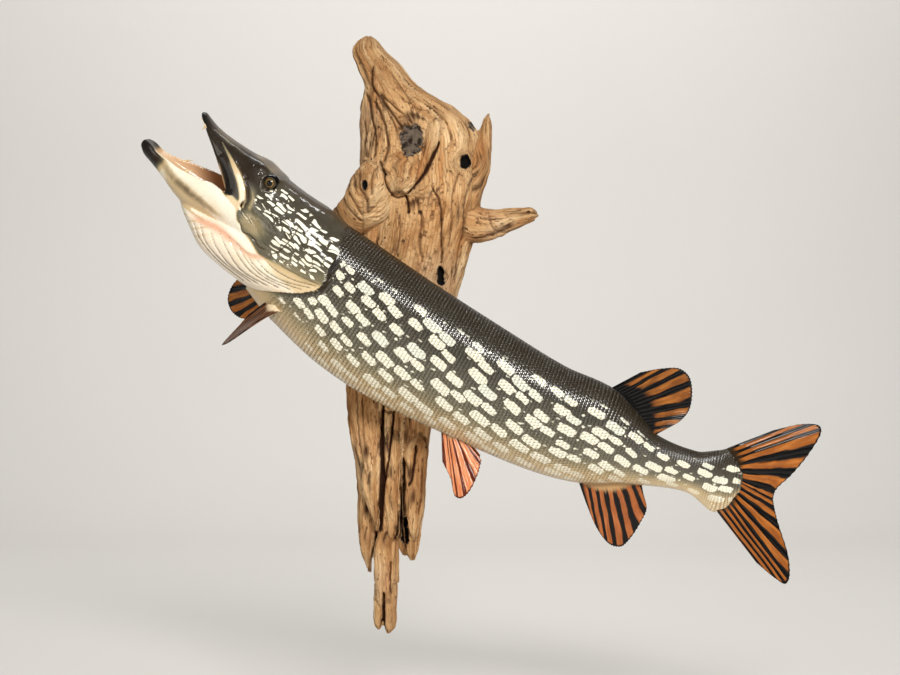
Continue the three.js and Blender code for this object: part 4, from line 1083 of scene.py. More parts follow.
fins = {
    "dorsal_fin": {
        "root": [(254, -126, -124), (284, -127, -151), (316, -126, -187)],
        "edge": [(304, -131, -97), (331, -133, -92), (356, -134, -92), (369, -134, -103), (373, -134, -124),
                 (369, -133, -148), (358, -132, -162), (342, -130, -172), (327, -128, -180)],
        "thick": (4, 1.2), "rays": 19, "stripes": 7.5,
    },
    "anal_fin": {
        "root": [(218, -113, -236), (260, -114, -240), (305, -116, -240)],
        "edge": [(232, -110, -276), (244, -108, -305), (256, -107, -324), (266, -106, -333), (280, -106, -335),
                 (292, -107, -324), (306, -109, -302), (314, -112, -283), (309, -114, -262)],
        "thick": (4, 1.2), "rays": 17, "stripes": 7.5, "flesh": 3.4,
    },
    "caudal_fin_upper": {
        "root": [(421, -121, -200), (431, -121, -220), (433, -121, -246)],
        "edge": [(485, -123, -175), (522, -125, -167), (545, -126, -169), (548, -126, -177), (531, -125, -208),
                 (509, -124, -235), (487, -123, -257), (483, -123, -270)],
        "thick": (6, 1.2), "rays": 13, "stripes": 6, "flesh": 0.8,
    },
    "caudal_fin_lower": {
        "root": [(434, -121, -240), (423, -121, -264), (401, -121, -277)],
        "edge": [(483, -123, -265.6), (485, -123, -279), (490, -123, -300), (504, -125, -348), (504, -126, -377),
                 (499, -126, -383), (485, -126, -375), (461, -124, -355)],
        "thick": (6, 1.2), "rays": 15, "stripes": 7.5, "flesh": 0.8,
    },
    "pelvic_fin_left": {
        "root": [(35, -121, -168), (56, -121, -176)],
        "edge": [(37, -130, -218), (49, -134, -243), (54, -136, -264), (62, -136, -267), (73, -136, -258),
                 (85, -133, -234), (90, -129, -216)],
        "thick": (3.5, 1.1), "rays": 11, "stripes": 5.5,
    },
    "pelvic_fin_right": {
        "root": [(38, -93, -166), (59, -93, -172)],
        "edge": [(42, -82, -212), (52, -78, -236), (60, -76, -255), (68, -76, -257), (78, -77, -247),
                 (87, -80, -228), (89, -84, -212)],
        "thick": (3.5, 1.1), "rays": 11, "stripes": 5.5,
    },
    "pectoral_fin_left": {
        "root": [(-183, -135, 7), (-176, -148, -14)],
        "edge": [(-222, -146, -20), (-244, -154, -46), (-253, -170, -58), (-252, -187, -61), (-243, -200, -58),
                 (-224, -196, -44), (-206, -180, -28)],
        "bow": (0, 0, 1.5), "thick": (6, 1.8), "rays": 9, "stripes": 6.5, "flesh": 5,
    },
    "pectoral_fin_right": {
        "root": [(-200, -86, 30), (-186, -90, 2)],
        "edge": [(-236, -70, 38), (-254, -64, 22), (-261, -61, 2), (-256, -60, -14), (-243, -61, -24),
                 (-222, -66, -24), (-206, -74, -18)],
        "bow": (0, 0, 0), "thick": (4, 1.2), "rays": 14, "stripes": 5.5,
    },
}
finForm = {"steps": 220, "around": 84, "ridge": 0.42, "scallop": 1.1, "flesh": 2.6}


def finPiece(name, fin):
    root, edge = throughPoints(fin["root"]), throughPoints(fin["edge"])

    def pointAt(share, turn):
        out = 1 - np.abs(turn) / math.pi
        rays = np.abs(np.sin(math.pi * fin["rays"] * share))  # 0 on a ray, 1 on the web between two
        split = np.abs(np.sin(2 * math.pi * fin["rays"] * share))
        rays = rays * (1 - between(out, 0.45, 0.85)) + split * between(out, 0.45, 0.85)
        start, end = root(share), edge(share)
        span = edge(np.minimum(1, share + 0.02)) - edge(np.maximum(0, share - 0.02))
        across = np.cross(span, end - start)
        across /= np.linalg.norm(across, axis=1, keepdims=True)
        across *= -np.sign(across[:, 1:2])
        reach = np.linalg.norm(end - start, axis=1)
        length = out * (1 - finForm["scallop"] * rays * between(out, 0.8, 1) / reach)
        half = (fin["thick"][0] * (1 - out) + fin["thick"][1] * out) / 2
        half = half * np.sqrt(np.clip((1 - out) / 0.05, 0.12, 1)) * np.clip(np.minimum(share, 1 - share) / 0.02, 0.3, 1)
        half = half + fin.get("flesh", finForm["flesh"]) * np.exp(-((out / 0.1) ** 2)) * np.sin(math.pi * share) ** 0.5
        half = half - finForm["ridge"] * rays * between(out, 0.1, 0.3)
        half = np.maximum(half, 0.12)
        placed = start + (end - start) * length[:, None] + across * (half * np.sign(turn))[:, None]
        return placed + np.multiply.outer(np.sin(math.pi * out), fin.get("bow", (0, 0, 0)))

    bm = loft(finForm["steps"], finForm["around"], pointAt,
              values=lambda share, turn: np.stack([share, 1 - np.abs(turn) / math.pi, 0 * share], -1))
    piece = pieceOf(name + "_rays", bm)
    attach(piece, "root")
    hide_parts(name)
    return piece


finPaint = {  # colours of web and stripes, share of the stripes, and the colour and length of the base
    "dorsal_fin": {"web": tone(170, 106, 48), "second": tone(114, 66, 28), "ink": tone(9, 6, 4), "inked": 0.46,
                   "base": tone(10, 8, 6), "baseEnd": 0.42},
    "anal_fin": {"web": tone(184, 110, 64), "second": tone(146, 80, 40), "ink": tone(12, 7, 5), "inked": 0.46,
                 "base": tone(186, 148, 102), "baseEnd": 0.2},
    "caudal_fin": {"web": tone(184, 112, 50), "second": tone(140, 78, 32), "ink": tone(9, 6, 4), "inked": 0.5,
                   "base": tone(46, 36, 22), "baseEnd": 0.1},
    "pelvic_fin": {"web": tone(232, 172, 132), "second": tone(208, 116, 66), "ink": tone(92, 36, 16), "inked": 0.34,
                   "base": tone(214, 176, 130), "baseEnd": 0.16},
    "pectoral_fin_left": {"web": tone(150, 106, 80), "second": tone(110, 72, 48), "ink": tone(38, 23, 15),
                          "inked": 0.46, "base": tone(240, 216, 178), "baseEnd": 0.22},
    "pectoral_fin_right": {"web": tone(184, 116, 50), "second": tone(140, 80, 32), "ink": tone(10, 7, 5),
                           "inked": 0.5, "base": tone(120, 80, 48), "baseEnd": 0.1},
}


def finMaterial(name, fin):
    paint = next(paint for start, paint in finPaint.items() if name.startswith(start))
    material, tree, shader = newMaterial(name + " paint")
    ray, out, _ = axesOf(tree, keptOf(tree, "kept")["Vector"])
    point = ownPlace(tree)
    long = vectorOf(tree, calc(tree, "MULTIPLY", ray, 9), calc(tree, "MULTIPLY", out, 1.6))
    wobble = calc(tree, "MULTIPLY_ADD", noiseOf(tree, long, 1.4, 1), 0.05, -0.025)
    wave = calc(tree, "SINE", calc(tree, "MULTIPLY", calc(tree, "ADD", ray, wobble), 2 * math.pi * fin["stripes"]))
    broken = calc(tree, "MULTIPLY_ADD", noiseOf(tree, long, 3, 3), 1.1, -0.55)
    level = math.cos(math.pi * paint["inked"])
    stripe = stepOf(tree, calc(tree, "ADD", wave, broken), level - 0.3, level + 0.3)
    border = calc(tree, "MAXIMUM", stepOf(tree, ray, 0.1, 0.05), stepOf(tree, out, 0.96, 0.99))
    dark = calc(tree, "MAXIMUM", stripe, border)
    body = blendOf(tree, stepOf(tree, noiseOf(tree, long, 2.5, 3), 0.3, 0.7), paint["web"], paint["second"])
    rays = calc(tree, "ABSOLUTE", calc(tree, "SINE", calc(tree, "MULTIPLY", ray, math.pi * fin["rays"])))
    body = blendOf(tree, calc(tree, "MULTIPLY", rays, 0.45), body, paint["second"])
    colour = blendOf(tree, dark, body, paint["ink"])
    atBase = stepOf(tree, calc(tree, "MULTIPLY_ADD", broken, 0.12, out), paint["baseEnd"] + 0.04, paint["baseEnd"] - 0.06)
    colour = blendOf(tree, atBase, colour, paint["base"])
    tree.links.new(colour, shader.inputs["Base Color"])
    tree.links.new(bumpOf(tree, noiseOf(tree, long, 7, 4), 0.0014, 0.8), shader.inputs["Normal"])
    shader.inputs["Roughness"].default_value = 0.45
    shader.inputs["Specular IOR Level"].default_value = 0.05
    shader.inputs["Coat Weight"].default_value = 0.55
    shader.inputs["Coat Roughness"].default_value = 0.09
    shader.inputs["Coat IOR"].default_value = 1.42
    return material


for finName, fin in fins.items():
    dress(finPiece(finName, fin), finMaterial(finName, fin))
print("fins: done")


# Eyes

def eyePiece(name, side):
    bm = bmesh.new()
    bmesh.ops.create_uvsphere(bm, u_segments=64, v_segments=40, radius=eyeForm["radius"])
    layer = bm.verts.layers.float.new("ring")
    middle = headPoint(eyeForm["s"], eyeForm["d"] - eyeForm["farDrop"] * (side < 0), side * eyeForm["w"])
    outwards = rolledOut * side
    for vert in bm.verts:
        along, high, out = vert.co.x, vert.co.y, vert.co.z
        vert[layer] = math.hypot(along, high) if out > 0 else eyeForm["radius"]
        bulge = out + 0.9 * max(0, 1 - (math.hypot(along, high) / 6.5) ** 2) * (out > 0)
        vert.co = (middle + back * along + rolledUp * high + outwards * bulge) * mm
    bmesh.ops.recalc_face_normals(bm, faces=bm.faces)
    piece = pieceOf(name + "_glass", bm)
    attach(piece, "root")
    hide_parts(name)
    return piece


def eyeMaterial():
    material, tree, shader = newMaterial("glass eye")
    ring = keptOf(tree, "ring")["Fac"]
    point = ownPlace(tree)
    streak = calc(tree, "MULTIPLY_ADD", noiseOf(tree, point, 900, 2), 0.05, -0.025)
    shade = calc(tree, "ADD", calc(tree, "DIVIDE", ring, eyeForm["radius"]), streak)
    colour = rampOf(tree, shade, [
        (0.0, tone(3, 2, 2)), (0.35, tone(3, 2, 2)), (0.39, tone(142, 116, 66)), (0.48, tone(92, 70, 36)),
        (0.57, tone(26, 19, 11)), (0.63, tone(104, 92, 70)), (0.67, tone(10, 8, 6)), (1.0, tone(7, 6, 5)),
    ])
    tree.links.new(colour, shader.inputs["Base Color"])
    shader.inputs["Roughness"].default_value = 0.5
    shader.inputs["Specular IOR Level"].default_value = 0.05
    shader.inputs["Coat Weight"].default_value = 1.0
    shader.inputs["Coat Roughness"].default_value = 0.02
    shader.inputs["Coat IOR"].default_value = 1.38
    return material


eyeGlass = eyeMaterial()
for eyeName, side in (("eye_right", -1), ("eye_left", 1)):
    dress(eyePiece(eyeName, side), eyeGlass)


# Teeth

teethForm = {
    # s, side (0 for both), height and lean of the lower ones, on the rim of the jaw
    "lower": [(-12, 0, 1.6, 0.4), (-4, 0, 2, 0.4), (6, 0, 2, 0.4), (20, -1, 8.5, 1), (37, 1, 8.5, 0.9), (30, -1, 2, 0.4),
              (24, 1, 2, 0.4), (46, 0, 2.4, 0.6), (56, 0, 2.2, 0.6), (67, 0, 2, 0.6)],
    # s, side, height and lean of the upper ones, under the snout
    "upper": [(6, 0, 2, 0.2), (11, 0, 2.2, 0.2), (17, 0, 7.5, 0), (26, 0, 2.2, 0.2), (34, 0, 2, 0.2)],
    "sides": 12,
}


def toothShape(root, height, lean, up):
    bm = bmesh.new()
    radius = height * 0.3 + 0.4
    bmesh.ops.create_cone(bm, cap_ends=True, segments=teethForm["sides"], radius1=radius, radius2=0.12,
                          depth=height + 2)
    bmesh.ops.subdivide_edges(bm, edges=[edge for edge in bm.edges
                                         if abs(edge.verts[0].co.z - edge.verts[1].co.z) > 0.5], cuts=4)
    for vert in bm.verts:
        rise = vert.co.z + height / 2 - 1
        hook = lean * height * (rise / height) ** 1.5 if rise > 0 else 0
        vert.co = (root + rolledUp * up * rise + back * (hook + vert.co.x) + rolledOut * 0.7 * vert.co.y) * mm
    bmesh.ops.recalc_face_normals(bm, faces=bm.faces)
    return bm


def teethPiece():
    parts = []
    for side in (-1, 1):
        for s, only, height, lean in teethForm["lower"]:
            if only in (0, side):
                s = np.array(float(s))
                rim, keel, half, wall, channel = jawAt(s)
                d = rim - 0.6 - nearRimDrop(s, rim, side)
                parts.append(toothShape(headPoint(s, d, side * (half - wall * 0.55)), height, lean, 1))
        for s, only, height, lean in teethForm["upper"]:
            s = np.array(float(s))
            top, floor, half = headAt(s)[:3]
            parts.append(toothShape(headPoint(s, floor + 1.2, side * half * 0.78), height, lean, -1))
    piece = pieceOf("teeth", gathered(parts))
    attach(piece, "root")
    return piece


def teethMaterial():
    material, tree, shader = newMaterial("ivory")
    point = ownPlace(tree)
    tree.links.new(blendOf(tree, noiseOf(tree, point, 200), tone(236, 214, 162), tone(206, 170, 112)),
                   shader.inputs["Base Color"])
    shader.inputs["Roughness"].default_value = 0.3
    shader.inputs["Coat Weight"].default_value = 0.8
    return material


teeth = teethPiece()
dress(teeth, teethMaterial())
print("eyes and teeth: done")


# Driftwood: the same stations as its solids

woodForm = {
    "square": 2.3,
    "knotSquare": 2.1,
    "size": 1.5,  # of its faces before the plain ones are joined
    "faces": 192000,
    # z, x, half width, y, half depth
    "main": [
        (370, -66, 5, -42, 6), (364, -67, 14, -42, 12), (348, -66, 24, -42, 20), (326, -51, 31, -42, 26),
        (299, -34, 38, -42, 30), (283, -22, 52, -41, 33), (267, -10, 67, -40, 36), (240, 3, 81, -37, 40),
        (200, 6, 84, -34, 42), (141, 8, 84, -32, 42), (72, -3, 81, -28, 41), (2, -17, 74, -27, 41),
        (-68, -24, 71, -27, 40), (-124, -31, 64, -26, 38), (-180, -34, 57, -25, 32), (-222, -34, 50, -24, 25),
        (-238, -34, 40, -23, 18), (-247, -34, 22, -22, 9),
    ],
    "limbs": {
        "footLeft": [(-200, -66, 22, -24, 22), (-250, -65, 20, -22, 20), (-277, -66, 17, -20, 17),
                     (-319, -69, 14, -18, 13), (-354, -70, 9, -17, 9), (-382, -67, 2.5, -16, 3)],
        "footCentre": [(-200, -37, 15, -26, 24), (-250, -37, 13, -27, 23), (-305, -39, 13.5, -28, 22),
                       (-347, -43, 17, -28, 20), (-389, -43, 17.5, -28, 18), (-424, -44, 15, -27, 15),
                       (-438, -44, 6, -27, 7)],
        "lobeLeft": [(-396, -51, 9, -27, 14), (-440, -52, 8.5, -26, 12), (-454, -53, 6.5, -26, 9),
                     (-461, -53, 2.5, -26, 4)],
        "lobeRight": [(-396, -36, 11.5, -27, 16), (-440, -36.5, 9.5, -26, 14), (-458, -38, 7.5, -26, 10),
                      (-466, -39, 3, -26, 4)],
        "footRight": [(-194, -3, 21, -24, 25), (-222, -4, 20, -24, 25), (-277, -4, 16, -25, 21),
                      (-333, -7, 11, -26, 16), (-352, -7, 8.5, -26, 12), (-363, -6, 4, -26, 6)],
        "behind": [(-210, -18, 16, -11, 9), (-300, -19, 13, -10, 8), (-345, -17, 9, -10, 7), (-358, -16, 4, -10, 4)],
        "prong": [(264, 102, 2, -30, 3), (256, 100, 6, -31, 7), (239, 98, 9.5, -32, 12), (216, 95, 13, -34, 17),
                  (190, 86, 18, -35, 21), (158, 78, 17, -33, 24), (120, 72, 14, -30, 22)],
        "splinter": [(-120, -69, 20, -50, 14), (-177, -69, 22.5, -46, 16), (-226, -64, 17.5, -44, 14),
                     (-260, -62, 14, -43, 12), (-290, -58.5, 8.5, -42, 9), (-320, -57, 2, -40, 3)],
        "slab": [(-140, -33, 12, -42, 12), (-200, -34, 13, -42, 14), (-250, -34, 12.5, -42, 13),
                 (-300, -32, 10.5, -41, 12), (-325, -31, 9, -41, 11), (-334, -30, 4, -41, 5)],
        "slabRight": [(-184, 5, 2.5, -46, 5), (-194, 3, 13, -44, 12), (-208, 1.5, 18.5, -42, 15),
                      (-230, -0.6, 16.4, -42, 15), (-258, -1.8, 15.6, -41, 14), (-302, -3.5, 12, -41, 13),
                      (-320, -2.5, 7.5, -41, 11), (-335, -2.5, 3, -40, 4)],
        "ridge": [(248, 27, 4, -70, 6), (236, 25, 9, -72, 12), (210, 19, 9, -73, 12), (184, 11, 7, -73, 11),
                  (160, -2, 5, -71, 9), (146, -12, 3, -68, 6)],
    },
    # x, z, half height, y, half depth
    "sideways": {
        "branch": [(52, 118, 24, -34, 24), (74, 110, 28, -36, 23), (93, 107, 24, -38, 20), (112, 108, 20, -40, 17),
                   (128, 112, 16.5, -41, 14), (145, 115, 13, -42, 12), (163, 119.5, 9, -43, 9),
                   (170, 120, 4, -43, 4)],
        "knot": [(-46, 172, 9, -68, 7), (-40, 174, 20, -71, 13), (-20, 176, 28, -73, 17), (-2, 179, 23, -72, 14),
                 (8, 182, 9, -68, 7)],
        "burl": [(-36, 148, 36, -46, 34), (-56, 148, 44, -50, 37), (-76, 141, 50, -50, 34), (-92, 130, 40, -49, 28),
                 (-104, 121, 21, -48, 18), (-115, 121, 8, -46, 8)],
    },
    # x, z and reach of the knots that the grain runs round
    "swirls": [(-19, 172, 26), (-69, 160, 10), (68, 192, 15), (-4, 222, 17), (35, 33, 7)],
    "fan": (-27, 138),  # x and z the folds of the big knot spread from
    # depth, width at the start and the end, x and z along it
    "cracks": [
        (9, 4, 4, [(33, 222), (24, 198), (13, 176), (0, 160), (-14, 146)]),
        (7, 3, 2, [(-14, 146), (-11, 132), (-10, 120)]),
        (5, 4, 3, [(-58, 327), (-61, 312), (-59, 294), (-48, 280), (-38, 266), (-24, 246), (-15, 230)]),
        (4, 3, 2, [(-50, 286), (-30, 268), (-11, 251), (-3, 243)]),
        (2.5, 2.5, 2, [(-38, 319), (-26, 302), (-11, 281), (0, 265), (24, 261)]),
        (4.5, 4, 3, [(-69, 289), (-65, 273), (-60, 246), (-55, 219), (-59, 195)]),
        (4.5, 4, 3, [(-58, 278), (-47, 254), (-40, 230), (-38, 209), (-46, 190)]),
        (3.5, 3, 2, [(-54, 284), (-38, 260), (-27, 238), (-24, 219)]),
        (3.5, 3, 3, [(-74, 254), (-70, 227), (-67, 198)]),
        (4.5, 3, 3, [(-52, 196), (-42, 178), (-41, 160), (-28, 143), (-12, 146)]),
        (5, 2.5, 2.5, [(18, 162), (32, 139), (36, 112), (36, 85), (37, 64), (36, 50)]),
        (3, 3, 2, [(-98, 141), (-89, 123), (-75, 109)]),
        (3, 3, 2, [(-93, 152), (-81, 131), (-74, 116)]),
        (3.5, 3, 3, [(-78, 180), (-77, 164), (-75, 152), (-67, 139), (-66, 118)]),
        (3, 3, 2, [(-52, 186), (-58, 176), (-60, 160), (-60, 142)]),
        (2.5, 2.5, 2, [(120, 120), (140, 123), (161, 123)]),
        (2.5, 3, 2, [(101, 122), (107, 101), (118, 96), (139, 101), (161, 108)]),
        (3, 2.5, 2, [(62, 180), (52, 150), (50, 110), (46, 70)]),
        (3, 2.5, 2, [(75, 176), (68, 140), (66, 100), (58, 60), (54, 20)]),
        (3, 2.5, 2, [(-24, 120), (-22, 90), (-30, 60)]),
        (3, 3, 2, [(2, 135), (8, 110), (4, 80), (10, 50)]),
        (12, 3, 9, [(-45, -120), (-45, -149), (-46.5, -179), (-47, -214), (-46, -249), (-48, -272), (-51, -318)]),
        (8, 3, 2.5, [(-28, -130), (-31, -158), (-34, -191), (-38, -219), (-41, -240), (-44, -258)]),
        (14, 4, 8, [(-17, -215), (-17, -249), (-19, -272), (-21.6, -296), (-26, -330)]),
        (8, 3.5, 3.5, [(1, -198), (-1, -212), (-3, -230), (-6.5, -249), (-11, -258)]),
        (9, 3, 4, [(-55, -318), (-59, -342), (-61, -365), (-63, -384)]),
        (10, 2.5, 5, [(-45, -405), (-45.5, -425), (-46, -445), (-46, -468)]),
        (5, 2.5, 2, [(-35, -362), (-36, -380), (-35.5, -410)]),
        (4, 3, 3, [(-44, -150), (-39, -154), (-33, -152)]),
        (3, 2.5, 2, [(-74, -130), (-73, -170), (-70, -210), (-66, -240)]),
        (3, 2.5, 2, [(10, -215), (8, -260), (3, -300)]),
        (3, 2.5, 2, [(-82, -120), (-80, -170), (-76, -215)]),
    ],
    # x, z, half width, half height and lift of smooth lumps
    "lumps": [(-70, 183, 8, 14, 4), (-46, 158, 14, 22, 5), (-104, 128, 12, 14, 3), (-88, 130, 10, 20, 3),
              (-32, 166, 9, 14, 2.5), (-10, 170, 10, 15, 3), (-22, 186, 12, 8, 2), (45, 216, 22, 14, 4),
              (20, 244, 30, 10, 4), (-34, 296, 14, 30, 4), (-67, 352, 10, 12, 3), (78, 152, 8, 40, 4),
              (16, 100, 10, 50, 3), (-20, 96, 8, 40, 3)],
    "wrinkles": (-56, 122, 9, 15, 6.2),  # middle, half sizes and spacing of the wrinkles below the burl's lump
    "plate": (0, 190, 20.8, 35.8, 2.2),  # middle, half sizes and depth of the hanger plate's bed
    # middle and half sizes of the hollows, and how dark: 0.8 is bark, 1 also adds near-black painted shade deep inside
    "hollows": [(-6, -80, 221, 18, 11, 23, 0.8), (68, -68, 192, 7.5, 18, 10, 1), (35, -66, 34, 6, 16, 15, 1),
                (-70, -86, 158, 4, 10, 8, 1), (-18, -34, -324, 8, 22, 26, 1), (80, -66, 247, 9, 30, 12, 0.8)],
}


def weathered(turn, along):
    wind = along / 160
    return 1 + 0.04 * np.sin(3 * turn + wind) + 0.035 * np.sin(5 * turn - 1.7 * wind + 1)


def uprightLimb(number, stations, steps, around):
    at = smoothly(stations)
    top, bottom = stations[0][0], stations[-1][0]

    def pointAt(share, turn):
        z = top + (bottom - top) * share
        x, half, y, depth = at(z)
        h, w = rounded(turn, woodForm["square"])
        out = weathered(turn, z)
        return np.stack([x + half * w * out, y - depth * h * out, z], -1)

    width = np.mean([row[2] for row in stations])
    return loft(steps, around, pointAt,
                values=lambda share, turn: np.stack([turn * width, (top - bottom) * share, 0 * share + number], -1))


def sidewaysLimb(number, stations, steps, around):
    at = smoothly(stations)
    start, end = stations[0][0], stations[-1][0]

    def pointAt(share, turn):
        x = start + (end - start) * share
        z, half, y, depth = at(x)
        h, w = rounded(turn, woodForm["knotSquare"])
        out = weathered(turn, x)
        return np.stack([x, y - depth * w * out, z + half * h * out], -1)

    width = np.mean([row[2] for row in stations])
    return loft(steps, around, pointAt,
                values=lambda share, turn: np.stack([turn * width, abs(end - start) * share, 0 * share + number], -1))


def nearest(known, values, wanted):  # the values of the nearest known points
    tree = KDTree(len(known))
    for i, point in enumerate(known):
        tree.insert(point, i)
    tree.balance()
    return values[[tree.find(point)[1] for point in wanted]]


def woodShape():  # the limbs in one skin, each point with its place along and across the grain
    parts = [uprightLimb(0, woodForm["main"], 200, 120)]
    parts += [uprightLimb(1, stations, 70, 60) for stations in woodForm["limbs"].values()]
    for number, stations in enumerate(woodForm["sideways"].values()):
        parts.append(sidewaysLimb(2 + number, stations, 50, 60))
    whole = gathered(parts)
    layer = whole.verts.layers.float_vector["kept"]
    grains = np.array([vert[layer][:] for vert in whole.verts])
    known = np.array([vert.co[:] for vert in whole.verts]) / mm
    even = evenly("wood", whole, woodForm["size"])
    for _ in range(3):
        bmesh.ops.smooth_vert(even, verts=even.verts, factor=0.5, use_axis_x=True, use_axis_y=True, use_axis_z=True)
    piece = pieceOf("driftwood", even)
    return piece, nearest(known, grains, places(piece.data))


def runGrain(points, grain):  # bends the grain round the knots, as winding lines
    x, z = points[:, 0], points[:, 2]
    across, along, limb = grain.T.copy()
    for middle, height, reach in woodForm["swirls"]:
        away2 = (x - middle) ** 2 + (z - height) ** 2
        push = (x - middle) * reach ** 2 / np.maximum(away2, (0.6 * reach) ** 2)
        across -= np.where(limb < 2, push, 0)
    fanX, fanZ = woodForm["fan"]
    knot, burl = limb == 3, limb == 4
    across[knot] = 30 * np.arctan2(x[knot] - fanX, z[knot] - fanZ)
    along[knot] = 3 * np.hypot(x[knot] - fanX, z[knot] - fanZ)
    across[burl] = 1.2 * np.hypot(x[burl] + 72, (z[burl] - 172) / 1.7)
    along[burl] = 60 * np.arctan2(x[burl] + 72, z[burl] - 172)
    for i in range(len(points)):
        a, b = across[i], along[i]
        across[i] += 7 * noise.noise(Vector((a / 40, b / 75, 3))) + 2.2 * noise.noise(Vector((a / 15, b / 26, 5)))
    return across, along, limb


def carveWood(piece, grain):
    points, outward = places(piece.data), normals(piece.data)
    across, along, limb = runGrain(points, grain)
    x, y, z = points.T.copy()
    count = len(points)
    fine, strand, broad, lump, rough, small = (np.zeros(count) for _ in range(6))
    for i in range(count):
        a, b = across[i], along[i]
        fine[i] = noise.noise(Vector((a / 4.4, b / 60, 1)))
        strand[i] = noise.noise(Vector((a / 10.5, b / 110, 8)))
        broad[i] = noise.noise(Vector((a / 26, b / 180, 11)))
        lump[i] = noise.noise(Vector((x[i], y[i], z[i])) / 30)
        rough[i] = noise.noise(Vector((x[i], y[i], z[i])) / 8)
        small[i] = noise.noise(Vector((x[i], y[i], z[i])) / 3.4)
    knotty = np.where(limb == 3, 1.6, np.where(limb == 4, 0.55, 1.0))
    worn = between(lump, -0.5, 0.3)  # deep lines in places, smooth wood in others
    valley = np.clip(1 - np.abs(strand) / 0.26, 0, 1) * worn
    hair = np.clip(1 - np.abs(fine) / 0.4, 0, 1)
    lift = knotty * (2.2 * strand + 0.9 * fine - 3.0 * valley - 0.9 * hair) + 2.6 * broad + 2.0 * lump + 0.35 * rough
    facing = between(-outward[:, 1], -0.1, 0.4)
    for middle, height, half, tall, up in woodForm["lumps"]:
        lift += up * np.exp(-((x - middle) / half) ** 2 - ((z - height) / tall) ** 2) * facing
    middle, height, half, tall, spacing = woodForm["wrinkles"]
    inside = between(np.hypot((x - middle) / half, (z - height) / tall), 1.1, 0.6) * facing
    lift += 1.3 * inside * np.sin((z - height - 0.15 * (x - middle)) * 2 * math.pi / spacing)
    flat = between(y, -3, -9)
    points += outward * (lift * flat)[:, None]
    # painted shade: darker in the carved valleys and fine grooves of the grain
    dark = np.clip(0.75 * valley * valley + 0.3 * hair * np.clip(0.5 - fine, 0, 1), 0, 1)
    for depth, start, end, line in woodForm["cracks"]:
        away, share = nearLine(line, x + 1.1 * rough, z)
        width = (start + (end - start) * share) * (0.5 + 0.16 * rough)
        width *= between(share, 0, 0.1) * between(share, 1, 0.92) if end < 6 else between(share, 0, 0.1)
        cut = between(away, width + 1.1, width * 0.4) * facing * (width > 0.3)
        points[:, 1] += depth * cut
        # painted shade in the cracks, darker the deeper they are
        dark = np.maximum(dark, cut * min(1, 0.35 + depth / 12))
        points[:, 1] -= 0.8 * np.exp(-((away - width - 3) / 1.8) ** 2) * facing  # the swollen edge
    hole = np.zeros(count)
    for x0, y0, z0, a, b, c, depth in woodForm["hollows"]:
        ring = ((x - x0) / a) ** 2 + ((z - z0) / c) ** 2 + 0.5 * rough + 0.25 * small
        deep = y0 + b * np.sqrt(np.clip(1 - ring, 0, 1)) + 2.5 * rough
        inside = (ring < 1) & (points[:, 1] < deep) & (facing > 0.1)
        points[inside, 1] = deep[inside]
        hole = np.maximum(hole, inside * between(ring, 1.0, 0.75) * depth)
    reach = onTrunk(points)[3]
    for i in range(16):  # clear of the fish
        inside = np.flatnonzero(reach < 1.03)
        points[inside, 1] += 2
        reach[inside] = onTrunk(points[inside])[3] if len(inside) else 1
    points[:, 1] = np.minimum(points[:, 1], 0)
    plateX, plateZ, wide, tall, deep = woodForm["plate"]
    behind = (np.abs(x - plateX) < wide) & (np.abs(z - plateZ) < tall) & (y > -8)
    points[behind, 1] = np.minimum(points[behind, 1], -deep)
    piece.data.vertices.foreach_set("co", (points * mm).ravel())
    piece.data.update()
    thinned(piece, woodForm["faces"])
    kept = nearest(points, np.stack([across, along, strand, dark, hole, lump], -1), places(piece.data))
    keep(piece.data, "grain", "FLOAT_VECTOR", kept[:, :3])
    # the painted shade of valleys and cracks, the hollows, and the lumps
    keep(piece.data, "creviceShadeAndHollows", "FLOAT_VECTOR", kept[:, 3:])


